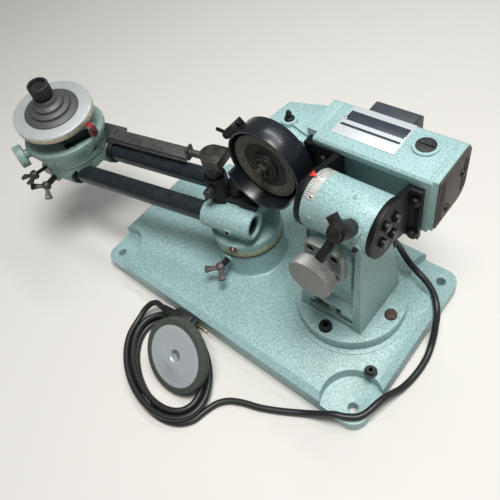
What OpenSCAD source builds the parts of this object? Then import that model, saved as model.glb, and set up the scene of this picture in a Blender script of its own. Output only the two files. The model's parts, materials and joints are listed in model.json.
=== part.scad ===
// Circular saw blade sharpener on a cast base plate. Millimetres, +Z up, origin at the middle of the underside.

/* [Base] */
// Length of the base plate
base_l = 410; // [390:1:450]
// Width of the base plate
base_w = 220; // [210:1:250]
// Height of the base plate
base_h = 34; // [30:1:42]
// Height of the corner lugs
lug_h = 17; // [14:1:20]
// Inset of the lug holes from the ends of the base
lug_in_x = 17; // [14:0.5:22]
// Inset of the lug holes from the sides of the base
lug_in_y = 18; // [15:0.5:22]
// Lug hole diameter
lug_d = 11; // [8:0.5:13]
// Thickness of the base plate's top
base_wall = 12; // [9:0.5:14]

/* [Turntable and column] */
// Turntable centre, from the right end of the base
col_in = 81.5; // [77:0.5:87]
// Turntable centre across the base
col_y = 5.5; // [0:0.5:10]
// Turntable radius
disc_r = 60.6; // [58:0.2:66]
// Turntable bolt circle radius
disc_bolt_r = 49.5; // [48:0.5:51]
// Hinge pin radius
hinge_r = 5; // [4:0.1:5.5]
// Barrel radius
barrel_r = 27.5; // [25:0.5:30]
// Pivot shaft radius inside the barrel
pivot_r = 17; // [15:0.5:19]

/* [Feed] */
// Feed knob radius
knob_r = 23; // [18:0.5:25]
// Feed knob thickness
knob_t = 14; // [10:0.5:16]
// Feed screw radius
feed_r = 5; // [4:0.1:6]

/* [Motor and wheel] */
// Armature core radius
core_r = 12; // [10:0.5:13]
// Motor shaft radius
shaft_r = 4.5; // [4:0.1:5]
// Wheel spindle radius
spindle_r = 6; // [5:0.1:6.5]
// Grinding wheel radius
wheel_r = 38; // [30:0.5:39.5]
// Guard radius
guard_r = 44; // [43:0.5:46]

/* [Arm] */
// Pedestal centre along the base
arm_x = -22; // [-26:0.5:-21]
// Pedestal centre across the base
arm_y = 5; // [2:0.5:8]
// Direction of the arm
arm_angle = 190.6; // [186:0.2:196]
// Pedestal radius
ped_r = 43; // [42:0.5:48]
// Half distance of the two rails
rail_s = 24; // [23:0.5:26]
// Rail radius
rail_r = 12; // [10:0.5:12.5]
// Rail end, measured from the pedestal axis
rail_end = 296; // [292:1:360]
// Clamp tube radius
tube_r = 16; // [14.5:0.5:16]
// Tooth rest post radius
post_r = 8.5; // [6:0.5:9]

/* [Carriage and table] */
// Carriage centre along the rails
car_t = 258; // [240:1:258]
// Swivel of the table at rest
table_angle = -30; // [-40:0.5:-20]
// Swivel table radius
table_r = 46; // [44:0.5:46]
// Tilt of the blade holder at rest
tilt_angle = -8; // [-12:0.5:0]
// Index disc radius
index_r = 49.6; // [48:0.2:54]
// Clamp knob radius
clamp_r = 12.6; // [11:0.2:15]

/* [Cord and spare wheel] */
// Cord diameter
cord_d = 7.4; // [6:0.1:7.4]
// Spare wheel radius
spare_r = 44.3; // [42:0.1:44.3]

/* [Hidden] */
$fn = 64;
fit = 0.05;
gap = 0.3;

lug_x = base_l - 2 * lug_in_x;
lug_y = base_w - 2 * lug_in_y;
lug_r = 34;
hollow_in = lug_in_x + lug_r + 7;
col_x = base_l / 2 - col_in;
pad_h = 1.2;
pad_r = disc_r + 5.4;
disc_top = 17;
bolt_r = 4;
plate_low = 26;
hinge_y = -25.5;
hinge_z = 38;
feed_x = -1.2;
feed_z = 122;
block_y = -31.5;
recess_y = -22.5;
arch_r = 24;
flange_y = block_y - 7.5;
screw_tip = -3.3;
barrel_y = -7.5;
barrel_z = 169;
barrel_x0 = -24.9;
barrel_x1 = 41.8;
plate_t = 5;
left_x1 = barrel_x0 - gap;
left_x0 = left_x1 - 5.8;
right_x0 = barrel_x1 + gap;
right_x1 = right_x0 + plate_t;
lever_x = 27;
lever_lean = 56;
motor_y = 62.5;
motor_z = 162.5;
motor_x0 = -56.5;
motor_x1 = 57.5;
cover_x1 = 66.5;
bore_r = 19;
wheel_x = -97.5;
apex_y = motor_y;
gear_r = 14;
pinion_r = 6;
guard_back = 25.5;
guard_front = 0.5;
wheel_front = 3.5;
wheel_back = 15.5;
ring_z = 36;
swivel_z = 46;
rail_z = 84;
tube_top = rail_z + tube_r;
stop_t = 5;
stop_top = tube_top + stop_t;
head_z = stop_top + gap;
post_x = 17;
post_y = 8;
holder_r = post_r + 4;
holder_top = 134;
cap_z = 152;
cap_t = 12;
pad_top = 103.7;
table_z = pad_top + gap;
tilt_z = 124;
pin_r = 6;
cheek_r = 14.5;
yoke_z = 30;
yoke_t = 3.3;
index_z = yoke_z + yoke_t + gap;
index_t = 9.7;
cone_z = index_z + index_t;
cone_h = 20;
clamp_z = cone_z + cone_h + gap;
arbor_r = 8;
spigot_r = 14;
spigot_z = rail_z + 8;
bowl_r = table_r + 7;
bowl_z = 132;
lug_back = -24;
lug_front = 9.7;
boss_r = 13;
bolt_head_r = 8.4;
lock_angle = 72;
lock_r = 2.6;
lock_z = pad_top - 3.7;
bar_z = tube_top + 1;
cord_r = cord_d / 2;
sink = 0.4;

// Small builders along the three axes
module cyl_x(r, x0, x1, y = 0, z = 0) {
  translate([x0, y, z]) rotate([0, 90, 0]) cylinder(r = r, h = x1 - x0);
}
module cyl_y(r, y0, y1, x = 0, z = 0) {
  translate([x, y1, z]) rotate([90, 0, 0]) cylinder(r = r, h = y1 - y0);
}
module cyl_z(r, z0, z1, x = 0, y = 0) {
  translate([x, y, z0]) cylinder(r = r, h = z1 - z0);
}
module box(x0, x1, y0, y1, z0, z1) {
  translate([x0, y0, z0]) cube([x1 - x0, y1 - y0, z1 - z0]);
}
module hex_x(r, x0, x1, y = 0, z = 0) {
  translate([x0, y, z]) rotate([0, 90, 0]) cylinder(r = r, h = x1 - x0, $fn = 6);
}
// Plate outline given in Y and Z, laid along X
module slab_x(x0, x1, pts) {
  translate([x0, 0, 0]) rotate([90, 0, 90]) linear_extrude(height = x1 - x0) polygon(pts);
}
module round_square(x0, x1, y0, y1, r) {
  translate([x0 + r, y0]) square([x1 - x0 - 2 * r, y1 - y0]);
  translate([x0, y0 + r]) square([x1 - x0, y1 - y0 - 2 * r]);
  for (x = [x0 + r, x1 - r]) for (y = [y0 + r, y1 - r]) translate([x, y]) circle(r = r);
}
// Frames of the sub-assemblies
module at_column() {
  translate([col_x, col_y, base_h]) children();
}
module at_barrel() {
  at_column() translate([0, barrel_y, barrel_z]) children();
}
module at_arm() {
  translate([arm_x, arm_y, base_h]) rotate([0, 0, arm_angle]) children();
}
module at_carriage() {
  at_arm() translate([car_t, 0, 0]) children();
}
module at_table() {
  at_carriage() rotate([0, 0, table_angle]) children();
}
module at_tilt() {
  at_table() translate([0, 0, tilt_z]) rotate([0, tilt_angle, 0]) children();
}
module at_corners() {
  for (x = [-lug_x / 2, lug_x / 2]) for (y = [-lug_y / 2, lug_y / 2]) translate([x, y, 0]) children();
}
// Round tube swept along points; up is any direction that the path never follows
function unit(v) = v / norm(v);
function way(p, i) = unit(p[min(i + 1, len(p) - 1)] - p[max(i - 1, 0)]);
function ring(p, i, r, n, up) = let (t = way(p, i), s = unit(cross(t, up)), u = cross(s, t))
  [for (j = [0:n - 1]) p[i] + r * (cos(360 * j / n) * s + sin(360 * j / n) * u)];
module tube(p, r, n, up) {
  last = len(p) - 1;
  pts = [for (i = [0:last]) each ring(p, i, r, n, up)];
  sides = [for (i = [0:last - 1]) for (j = [0:n - 1]) let (k = (j + 1) % n)
    [i * n + j, i * n + k, (i + 1) * n + k, (i + 1) * n + j]];
  first_cap = [[for (j = [n - 1:-1:0]) j]];
  last_cap = [[for (j = [0:n - 1]) last * n + j]];
  polyhedron(points = pts, faces = concat(sides, first_cap, last_cap));
}
// Smooth curve through hand-set points
function knot(p, i) = p[max(0, min(len(p) - 1, i))];
function curve(p, i, t) = 0.5 * (2 * knot(p, i) + (knot(p, i + 1) - knot(p, i - 1)) * t
  + (2 * knot(p, i - 1) - 5 * knot(p, i) + 4 * knot(p, i + 1) - knot(p, i + 2)) * t * t
  + (3 * knot(p, i) - knot(p, i - 1) - 3 * knot(p, i + 1) + knot(p, i + 2)) * t * t * t);
function smooth(p, n) = concat([for (i = [0:len(p) - 2]) for (k = [0:n - 1]) curve(p, i, k / n)], [p[len(p) - 1]]);

// Base
module base_body() {
  difference() {
    union() {
      linear_extrude(height = lug_h) round_square(-base_l / 2, base_l / 2, -base_w / 2, base_w / 2, 17);
      difference() {
        box(-base_l / 2, base_l / 2, -base_w / 2, base_w / 2, lug_h, base_h);
        at_corners() cyl_z(lug_r, lug_h - 1, base_h + 1);
        for (s = [-1, 1]) {
          translate([0, s * base_w / 2, base_h - 6]) rotate([-s * 36, 0, 0]) box(-300, 300, -20, 20, 0, 20);
          translate([s * base_l / 2, 0, base_h - 6]) rotate([0, s * 36, 0]) box(-20, 20, -200, 200, 0, 20);
        }
      }
      cyl_z(pad_r, base_h - 2, base_h + pad_h, col_x, col_y);
    }
    at_corners() cyl_z(lug_d / 2, -1, base_h);
    for (s = [-1, 1]) {
      box(s > 0 ? 6 : -base_l / 2 + hollow_in, s > 0 ? base_l / 2 - hollow_in : -6, -lug_y / 2,
        lug_y / 2, -1, base_h - base_wall);
    }
    for (a = [0:90:270]) translate([col_x, col_y, 0]) rotate([0, 0, a]) cyl_z(bolt_r + fit, 1, base_h + 5, disc_bolt_r);
    cyl_z(pin_r + fit, 1, base_h + 5, arm_x, arm_y);
  }
}
module base_casting() {
  color([0.62, 0.72, 0.67]) base_body();
}
module arm_pedestal() {
  color([0.62, 0.72, 0.67]) translate([arm_x, arm_y, base_h]) difference() {
    union() {
      rotate_extrude() polygon([[0, 0], [ped_r + 4, 0], [ped_r + 1.2, 1.2], [ped_r, 4], [ped_r - 2, ring_z], [0, ring_z]]);
      cyl_y(7, -ped_r - 1, 0, 0, 26);
    }
    cyl_z(pin_r + fit, -1, ring_z + 1);
    cyl_y(bolt_r + fit, -ped_r - 2, -12, 0, 26);
  }
}
module swivel_scale() {
  color([0.72, 0.72, 0.66]) translate([arm_x, arm_y, base_h]) difference() {
    cyl_z(ped_r - 2.4, ring_z, swivel_z - gap);
    cyl_z(pin_r + fit, ring_z - 1, swivel_z);
  }
}
module pivot_bolt() {
  color([0.16, 0.16, 0.16]) translate([arm_x, arm_y, base_h]) {
    cyl_z(pin_r, -10, head_z + 1);
    cyl_z(bolt_head_r, head_z, head_z + 2);
    translate([0, 0, head_z + 1.9]) rotate([0, 0, 20]) cylinder(r = bolt_head_r - 0.8, h = 5.8, $fn = 6);
  }
}
module turntable_disc() {
  color([0.66, 0.75, 0.70]) at_column() difference() {
    cyl_z(disc_r, pad_h, disc_top);
    for (a = [0:90:270]) rotate([0, 0, a]) cyl_z(bolt_r + fit, 0, disc_top + 1, disc_bolt_r);
    for (s = [-1, 1]) translate([0, s * disc_bolt_r, 0]) {
      cyl_z(7.6, disc_top - 7, disc_top + 1);
    }
  }
}
module turntable_bolts() {
  color([0.12, 0.12, 0.12]) at_column() {
    for (s = [-1, 1]) {
      cyl_z(bolt_r, -10, disc_top - 6.5, 0, s * disc_bolt_r);
      difference() {
        cyl_z(6.6, disc_top - 7, disc_top + 1.2, 0, s * disc_bolt_r);
        translate([0, s * disc_bolt_r, disc_top - 3]) cylinder(r = 3.2, h = 9, $fn = 6);
      }
      cyl_z(bolt_r, -10, disc_top + 1, s * disc_bolt_r, 0);
      cyl_z(6.8, disc_top, disc_top + 3.4, s * disc_bolt_r, 0);
    }
  }
}

// Column and its foot hinge
module column_foot() {
  color([0.30, 0.34, 0.32]) at_column() difference() {
    union() {
      box(-27.2, 25.2, -37, 30, disc_top, plate_low);
      cyl_x(8.5, -5.5, 3.5, hinge_y, hinge_z);
      box(-5.5, 3.5, hinge_y - 8.5, hinge_y + 8.5, plate_low - 1, hinge_z);
      box(-11, 9, screw_tip + gap, screw_tip + gap + 12, plate_low - 1, feed_z + 6);
    }
    cyl_x(hinge_r + fit, -30, 30, hinge_y, hinge_z);
  }
}
module hinge_spacer() {
  color([0.85, 0.83, 0.74]) at_column() difference() {
    cyl_x(8.2, -12.5, -5.5, hinge_y, hinge_z);
    cyl_x(hinge_r + fit, -20, 0, hinge_y, hinge_z);
  }
}
spring_wire = 0.8;
spring_r = hinge_r + 2.2;
spring_turns = 3;
spring_path = concat(
  [[-20.4, hinge_y - 14, hinge_z - spring_r - 3.5], [-20.4, hinge_y - 8, hinge_z - spring_r - 1.6]],
  [for (i = [0:8 * spring_turns]) let (a = -90 + 45 * i)
    [-20.4 + 2.2 * i / 8, hinge_y + spring_r * cos(a), hinge_z + spring_r * sin(a)]],
  [[-13.6, hinge_y + 7, hinge_z - spring_r - 0.4], [-13.6, hinge_y + 12, plate_low + spring_wire + gap]]);
module return_spring() {
  color([0.55, 0.55, 0.53]) at_column() tube(spring_path, spring_wire, 6, [1, 0, 0]);
}
module column_shell() {
  difference() {
    slab_x(-40.2, 36.1, [[-38, disc_top + 0.8], [39.5, disc_top + 0.8], [39.5, 24], [18.5, 156], [18.5, barrel_z],
      [-25, barrel_z], [-25, 146]]);
    translate([-40.2, 0, disc_top]) rotate([0, 5.2, 0]) box(-40, 0, -60, 60, -20, 200);
    translate([36.1, 0, disc_top]) rotate([0, -2.2, 0]) box(0, 40, -60, 60, -20, 200);
    box(-27.5, 25.5, -50, 20, 0, 86);
    slab_x(-27.5, 25.5, [[10, 0], [33, 0], [33, 24], [23, 86], [10, 86]]);
    slab_x(-22, 20, [[-17, 80], [23.5, 80], [16, 128], [10, 138], [-17, 138]]);
    box(-27.5, 25.5, -60, recess_y, 80, 142);
    box(-60, barrel_x0, barrel_y, 60, 122, 200);
    cyl_x(barrel_r + 1.2, -60, barrel_x0, barrel_y, barrel_z);
  }
}
module column_casting() {
  color([0.62, 0.72, 0.67]) at_column() difference() {
    union() {
      column_shell();
      cyl_x(barrel_r, barrel_x0, barrel_x1, barrel_y, barrel_z);
      cyl_y(arch_r, block_y, recess_y + 2, feed_x, feed_z);
      box(feed_x - arch_r, feed_x + arch_r, block_y, recess_y + 2, 80, feed_z);
      cyl_x(11.6, -28.5, 26.5, hinge_y, hinge_z);
      box(-28.5, 26.5, -27, -19, hinge_z + 8, 90);
      cyl_y(10, 26, 41, 13.5, 50);
      translate([lever_x, barrel_y, barrel_z]) rotate([lever_lean, 0, 0]) cyl_z(10, 20, 30);
      cyl_y(5.5, -36, -20, 33, 164);
    }
    cyl_x(pivot_r + fit, -60, 60, barrel_y, barrel_z);
    cyl_x(hinge_r + fit, -31, 29, hinge_y, hinge_z);
    cyl_x(9.6, -22, 12, hinge_y, hinge_z);
    box(-22, 12, -50, 5, 10, hinge_z);
    box(-22, 12, -50, hinge_y, 10, hinge_z + 5);
    translate([lever_x, barrel_y, barrel_z]) rotate([lever_lean, 0, 0]) cyl_z(bolt_r + fit, 10, 40);
    cyl_y(feed_r + fit, -60, 0, feed_x, feed_z);
    for (x = [-13, 13]) for (z = [-14, 14]) cyl_y(2.5 + fit, block_y - 1, -20, feed_x + x, feed_z + z);
    cyl_y(2.6, -40, -28, 33, 164);
    cyl_y(cord_r + 0.5, 0, 45, 13.5, 50);
  }
}
module hinge_pin() {
  color([0.62, 0.63, 0.62]) at_column() cyl_x(hinge_r, -30.5, 28.5, hinge_y, hinge_z);
}
module feed_flange() {
  color([0.64, 0.70, 0.66]) at_column() translate([feed_x, 0, feed_z]) difference() {
    union() {
      cyl_y(20, flange_y, block_y);
      for (x = [-13, 13]) for (z = [-14, 14]) cyl_y(8, flange_y, block_y, x, z);
      box(-21, 21, flange_y, block_y, -14, 14);
      box(-13, 13, flange_y, block_y, -22, 22);
    }
    cyl_y(feed_r + fit, flange_y - 1, block_y + 1);
    for (x = [-13, 13]) for (z = [-14, 14]) {
      cyl_y(2.5 + fit, flange_y - 1, block_y + 1, x, z);
      cyl_y(4.4, flange_y - 1, flange_y + 4.5, x, z);
    }
  }
}
module flange_screws() {
  color([0.14, 0.14, 0.14]) at_column() translate([feed_x, 0, feed_z]) {
    for (x = [-13, 13]) for (z = [-14, 14]) difference() {
      union() {
        cyl_y(2.5, flange_y + 4, -22, x, z);
        cyl_y(4.1, flange_y + 0.5, flange_y + 4.5, x, z);
      }
      translate([x, flange_y + 3, z]) rotate([90, 0, 0]) cylinder(r = 2.3, h = 6, $fn = 6);
    }
  }
}
module cord_gland() {
  color([0.07, 0.07, 0.07]) at_column() difference() {
    union() {
      cyl_y(9, 41, 44, 13.5, 50);
      cyl_y(6.6, 44, 53.4, 13.5, 50);
    }
    cyl_y(cord_r - 1, 40, 60, 13.5, 50);
  }
}
module feed_knob() {
  color([0.66, 0.66, 0.64]) at_column() translate([feed_x, 0, feed_z]) difference() {
    union() {
      translate([0, flange_y - gap, 0]) rotate([90, 0, 0]) rotate_extrude() polygon([[0, 0], [11, 0], [11, 9.2],
        [knob_r - 1, 9.2], [knob_r, 10.2], [knob_r, 8.2 + knob_t], [knob_r - 1, 9.2 + knob_t], [0, 9.2 + knob_t]]);
    }
    cyl_y(feed_r + fit, flange_y - 9.2 - knob_t + 3, flange_y + 1);
    cyl_z(2.6, 4, 20, 0, flange_y - 5.2);
  }
}
module feed_screw() {
  color([0.50, 0.50, 0.50]) at_column() cyl_y(feed_r, flange_y - 9 - knob_t + 4, screw_tip, feed_x, feed_z);
}
module lever_arm(angle, reach) {
  translate([0, 0, 46.5]) rotate([0, -8, angle]) box(0, reach, -4, 4, -3.4, 3.4);
}
module clamp_lever() {
  color([0.12, 0.12, 0.12]) at_barrel() translate([lever_x, 0, 0]) rotate([lever_lean, 0, 0]) {
    cyl_z(bolt_r, pivot_r + 2 * gap, 33);
    cyl_z(7.4, 30 + gap, 39);
    cyl_z(8.2, 38.5, 54);
    cyl_z(6.4, 53.5, 58);
    lever_arm(254, 30);
    lever_arm(135, 15);
  }
}

// Tilting head: brackets, motor, gear case, guard
module pivot_shaft() {
  color([0.45, 0.45, 0.45]) at_barrel() difference() {
    cyl_x(pivot_r, left_x1, right_x0);
    for (a = [28:90:298]) rotate([a, 0, 0]) cyl_x(2.5 + fit, right_x0 - 10, right_x0 + 1, 12);
  }
}
module left_bracket() {
  color([0.10, 0.10, 0.10]) at_column() {
    slab_x(left_x0, left_x1, [[-5.5, 195.5], [36, 187], [36, 126], [18, 137], [-0.5, 142.5]]);
    cyl_x(barrel_r + 0.5, left_x0, left_x1, barrel_y, barrel_z);
    difference() {
      box(-65.5, left_x0 + 0.5, 30.5, 41.5, 126, 188);
      for (z = [140, 176]) cyl_y(2.5 + fit, 29, 43, -44, z);
    }
  }
}
module right_bracket() {
  color([0.07, 0.07, 0.07]) at_column() difference() {
    union() {
      slab_x(right_x0, right_x1, [[-5.5, 196], [30.5, 185], [30.5, 123], [18.5, 134], [-0.5, 142]]);
      cyl_x(barrel_r, right_x0, right_x1, barrel_y, barrel_z);
      box(right_x0, right_x0 + 15, 27.5, 32.5, 123, 185);
    }
    translate([0, barrel_y, barrel_z]) for (a = [28:90:298]) rotate([a, 0, 0]) cyl_x(2.5 + fit, 20, 60, 12);
    for (z = [130, 173]) cyl_y(2.5 + fit, 20, 40, right_x0 + 10, z);
  }
}
module bracket_bolts() {
  color([0.16, 0.15, 0.14]) at_column() {
    translate([0, barrel_y, barrel_z]) for (a = [28:90:298]) rotate([a, 0, 0]) {
      cyl_x(2.5, right_x1 - 14, right_x1 + 0.5, 12);
      cyl_x(4.6, right_x1, right_x1 + 4, 12);
    }
    for (z = [130, 173]) {
      cyl_y(2.5, 27, 39, right_x0 + 10, z);
      cyl_y(4.6, 23.5, 27.5, right_x0 + 10, z);
    }
    for (z = [140, 176]) {
      cyl_y(2.5, 30, 47, -44, z);
      cyl_y(4.4, 27, 30.5, -44, z);
    }
  }
}
module tilt_pointer() {
  color([0.80, 0.12, 0.08]) at_barrel() rotate([-1, 0, 0]) translate([0, 0, barrel_r + 0.5]) {
    translate([left_x1 - 1.5, 0, -2]) rotate([90, 0, 0]) linear_extrude(height = 5, center = true)
      polygon([[-4, 2.5], [6.5, 2.5], [6.5, 3.7], [-4, 3.7]]);
    box(left_x1 - 5.5, left_x1 - 1, -2.5, 2.5, 0, 1.7);
  }
}
module motor_section(r1, r2) {
  difference() {
    translate([32.5, 132]) square([60, 63]);
    translate([92.5 - r1, 195 - r1]) square([r1 + 1, r1 + 1]);
    translate([92.5 - r2, 131]) square([r2 + 1, r2 + 1]);
    translate([32.5, 195]) rotate(45) square([8, 3], center = true);
  }
  translate([92.5 - r1, 195 - r1]) circle(r = r1);
  translate([92.5 - r2, 132 + r2]) circle(r = r2);
}
module motor_slice(x0, x1) {
  translate([x0, 0, 0]) rotate([90, 0, 90]) linear_extrude(height = x1 - x0) motor_section(9, 15);
}
module motor_housing() {
  color([0.62, 0.72, 0.67]) at_column() difference() {
    union() {
      motor_slice(motor_x0, motor_x1);
      cyl_z(12, 190, 197.2, 37.5, 67.5);
    }
    box(left_x0, 43.5, 30, 38.5, 120, 187);
    box(-70, left_x0 + 0.5, 30, 41.5, 120, 188);
    cyl_x(bore_r, motor_x0 + 14, motor_x1 + 1, motor_y, motor_z);
    cyl_x(11, motor_x0 - 1, motor_x0 + 15, motor_y, motor_z);
    cyl_z(9 + fit, 189, 199, 37.5, motor_y + 5);
    box(34, 41, motor_y - 3.5, motor_y + 3.5, motor_z, 192);
    for (z = [140, 176]) cyl_y(2.5 + fit, 40, 48, -44, z);
    for (z = [130, 173]) cyl_y(2.5 + fit, 32, 40, right_x0 + 10, z);
  }
}
module end_cover() {
  color([0.60, 0.70, 0.65]) at_column() difference() {
    union() {
      motor_slice(motor_x1, motor_x1 + 5);
      translate([motor_x1 + 4, 0, 0]) rotate([90, 0, 90]) linear_extrude(height = cover_x1 - motor_x1 - 4)
        difference() {
          motor_section(9, 15);
          translate([30, 130]) square([4.5, 70]);
          translate([30, 130]) square([70, 4]);
        }
    }
    translate([cover_x1 - 2, 0, 0]) rotate([90, 0, 90]) linear_extrude(height = 5)
      round_square(38, 89, 139.5, 191, 12);
    cyl_x(8, motor_x1 - 1, motor_x1 + 6, motor_y, motor_z);
  }
}
module gear_case() {
  linear_extrude(height = 182 - 132) polygon([[-122.5, 46.5], [-113, 34.5], [-66, 34.5], [-66, 41.5], [-57, 41.5],
    [-57, 91.5], [-75.5, 90.5], [-118.5, 77.5]]);
}
module gear_housing() {
  color([0.62, 0.72, 0.67]) at_column() difference() {
    union() {
      translate([0, 0, 132]) gear_case();
      translate([-68.5, 0, 0]) rotate([90, 0, 90]) linear_extrude(height = 12) difference() {
        motor_section(9, 15);
        translate([30, 120]) square([11.5, 80]);
      }
      cyl_y(20, guard_back, 36, wheel_x, motor_z);
      cyl_z(8.5, 180, 187, -98.5, 51.5);
      translate([-98.5, 51.5, 181]) rotate([0, 0, -16]) box(6, 31, -2, 2, 0, 4.5);
    }
    cyl_y(11, guard_back + 2.5, guard_back + 11.5, wheel_x, motor_z);
    cyl_y(spindle_r + 1.5, 20, 60, wheel_x, motor_z);
    cyl_y(16, 39, 80, wheel_x, motor_z);
    cyl_y(9, 79, 85, wheel_x, motor_z);
    cyl_x(9, wheel_x, -50, motor_y, motor_z);
    cyl_z(3 + fit, 170, 190, -98.5, 51.5);
    cyl_z(5.6, 184.5, 190, -98.5, 51.5);
  }
}
module guard_stud() {
  color([0.10, 0.10, 0.10]) at_column() translate([-98.5, 51.5, 0]) {
    cyl_z(3, 178, 194);
    translate([0, 0, 184.5]) cylinder(r = 5.2, h = 4.2, $fn = 6);
    cyl_z(2, 193.5, 196);
  }
}
module brush_caps() {
  color([0.06, 0.06, 0.06]) at_column() translate([37.5, motor_y + 5, 0]) {
    difference() {
      cyl_z(9, 192, 198);
      box(-7.5, 7.5, -0.9, 0.9, 196.6, 199);
    }
    box(-3, 3, -8, -2, motor_z + 9.3, 192.5);
  }
}
module stator() {
  color([0.35, 0.33, 0.31]) at_column() difference() {
    cyl_x(bore_r, -28, 24, motor_y, motor_z);
    cyl_x(core_r + 0.6, -30, 26, motor_y, motor_z);
  }
}
module bearings() {
  color([0.60, 0.60, 0.60]) at_column() {
    difference() {
      cyl_y(11, guard_back + 2.5, guard_back + 11.5, wheel_x, motor_z);
      cyl_y(spindle_r + fit, 0, 60, wheel_x, motor_z);
    }
    difference() {
      cyl_y(9, 79, 85, wheel_x, motor_z);
      cyl_y(5 + fit, 60, 90, wheel_x, motor_z);
    }
    difference() {
      cyl_x(11, motor_x0 + 2, motor_x0 + 11, motor_y, motor_z);
      cyl_x(shaft_r + fit, -80, 80, motor_y, motor_z);
    }
    difference() {
      cyl_x(8, motor_x1, motor_x1 + 6, motor_y, motor_z);
      cyl_x(shaft_r + fit, -80, 80, motor_y, motor_z);
    }
  }
}
module switch_box() {
  color([0.08, 0.08, 0.08]) at_column() difference() {
    slab_x(-37.5, 9.5, [[92.5, 146], [116, 146], [118.5, 150], [118.5, 180], [112, 186], [92.5, 186]]);
    box(-24, -4, 112, 125, 154, 176);
  }
}
module switch_rocker() {
  color([0.25, 0.05, 0.05]) at_column() translate([-14, 115, 165]) {
    cyl_x(2.5, -9.5, 9.5);
    slab_x(-9.5, 9.5, [[0, -10.5], [3.6, -10], [4.8, 0], [6.8, 10], [2.5, 10.5]]);
  }
}
module wheel_guard() {
  color([0.07, 0.08, 0.10]) at_column() translate([wheel_x, 0, motor_z]) difference() {
    union() {
      cyl_y(guard_r, guard_front, guard_back);
      difference() {
        cyl_y(guard_r, guard_front - 12, guard_front + 1);
        box(-60, 60, -30, 30, -15, 60);
      }
    }
    cyl_y(guard_r - 2.4, -30, guard_back - 2.5);
    cyl_y(spindle_r + 2, -30, 40);
  }
}
module guard_bracket() {
  color([0.13, 0.13, 0.12]) at_column() translate([wheel_x, 0, motor_z]) rotate([0, -47, 0]) {
    difference() {
      box(-9, 9, 2, 16, guard_r - 1, guard_r + 8);
      cyl_y(guard_r, -30, 40);
    }
    cyl_x(4.6, -17, -8, 6, guard_r + 4.2);
    cyl_x(2.2, 8, 13, 9, guard_r + 4.5);
    translate([-13, 6, guard_r + 4.2]) rotate([0, -43, 0]) cyl_z(1.9, 0, 15);
  }
}
// Spinning pieces
module armature() {
  color([0.48, 0.40, 0.30]) at_column() translate([0, motor_y, motor_z]) {
    cyl_x(shaft_r, wheel_x + gear_r + 3, motor_x1 + 5.5);
    cyl_x(core_r, -27, 23);
    cyl_x(9, 30, 45);
    cyl_x(bore_r - 1.5, motor_x0 + 15, motor_x0 + 20);
    translate([wheel_x + gear_r, 0, 0]) rotate([0, 90, 0]) {
      rotate_extrude() polygon([[0, -5.5], [3.6, -5.5], [pinion_r, gap], [pinion_r, 6], [0, 6]]);
    }
  }
}
module spindle() {
  color([0.42, 0.42, 0.42]) at_column() translate([wheel_x, 0, motor_z]) {
    cyl_y(spindle_r, guard_front - 9, apex_y - 12);
    cyl_y(5, apex_y - 13, 84.5);
    cyl_y(12, wheel_back, wheel_back + 5);
    translate([0, apex_y - pinion_r - gap, 0]) rotate([-90, 0, 0]) rotate_extrude()
      polygon([[0, -8], [9, -8], [gear_r, -3], [gear_r, 0], [8.3, 2.4], [0, 2.4]]);
  }
}
module grinding_wheel() {
  color([0.22, 0.20, 0.18]) at_column() translate([wheel_x, wheel_front, motor_z]) rotate([-90, 0, 0]) rotate_extrude()
    polygon([[spindle_r + fit, 3], [17, 3], [27, 1.5], [30, 0], [wheel_r, 0], [wheel_r, 9],
      [30, wheel_back - wheel_front], [spindle_r + fit, wheel_back - wheel_front]]);
}
module wheel_nut() {
  color([0.20, 0.18, 0.16]) at_column() translate([wheel_x, wheel_front + 3, motor_z]) rotate([90, 0, 0]) difference() {
    union() {
      cyl_z(17, 0, 3.2);
      cyl_z(12, 3, 5);
      cylinder(r = 8.8, h = 10, $fn = 6);
    }
    cyl_z(spindle_r + fit, -1, 20);
  }
}

// Swivelling arm with rails and tooth rest
module arm_head() {
  color([0.62, 0.72, 0.67]) at_arm() difference() {
    union() {
      cyl_z(ped_r - 1, swivel_z, swivel_z + 10);
      for (s = [-1, 1]) cyl_x(tube_r, -31.5, 31.5, s * rail_s, rail_z);
      box(-20, 20, -rail_s - 6, rail_s + 6, swivel_z + 9, rail_z);
      cyl_z(17, swivel_z + 9, tube_top);
      cyl_y(4.6, rail_s, rail_s + tube_r + 1, -4, 80);
    }
    for (s = [-1, 1]) cyl_x(rail_r + fit, -40, 40, s * rail_s, rail_z);
    cyl_z(pin_r + fit, 0, 130);
    cyl_y(2.5, rail_s, rail_s + tube_r + 2, -4, 80);
  }
}
module arm_rails() {
  color([0.09, 0.09, 0.10]) at_arm() for (s = [-1, 1]) difference() {
    cyl_x(rail_r, -28, rail_end, s * rail_s, rail_z);
    cyl_x(rail_r - 3, -29, rail_end + 1, s * rail_s, rail_z);
  }
}
module stop_plate() {
  color([0.09, 0.09, 0.09]) at_arm() difference() {
    union() {
      box(-32, 20, -22, 15, tube_top, stop_top);
      cyl_z(holder_r, tube_top, holder_top, post_x, post_y);
    }
    cyl_z(pin_r + fit, 0, 130);
    cyl_z(bolt_head_r + gap, stop_top, holder_top + 1);
    cyl_z(post_r + fit, stop_top, holder_top + 1, post_x, post_y);
    cyl_y(3 + fit, post_y, post_y + holder_r + 1, post_x, 123);
  }
}
module arm_pointer() {
  color([0.78, 0.12, 0.10]) at_arm() rotate([0, 0, 97]) {
    box(ped_r - 1, ped_r + 0.6, -4.5, 4.5, swivel_z - 5, swivel_z + 7);
    cyl_x(2, ped_r, ped_r + 1.6, 0, swivel_z + 4);
  }
}
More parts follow.
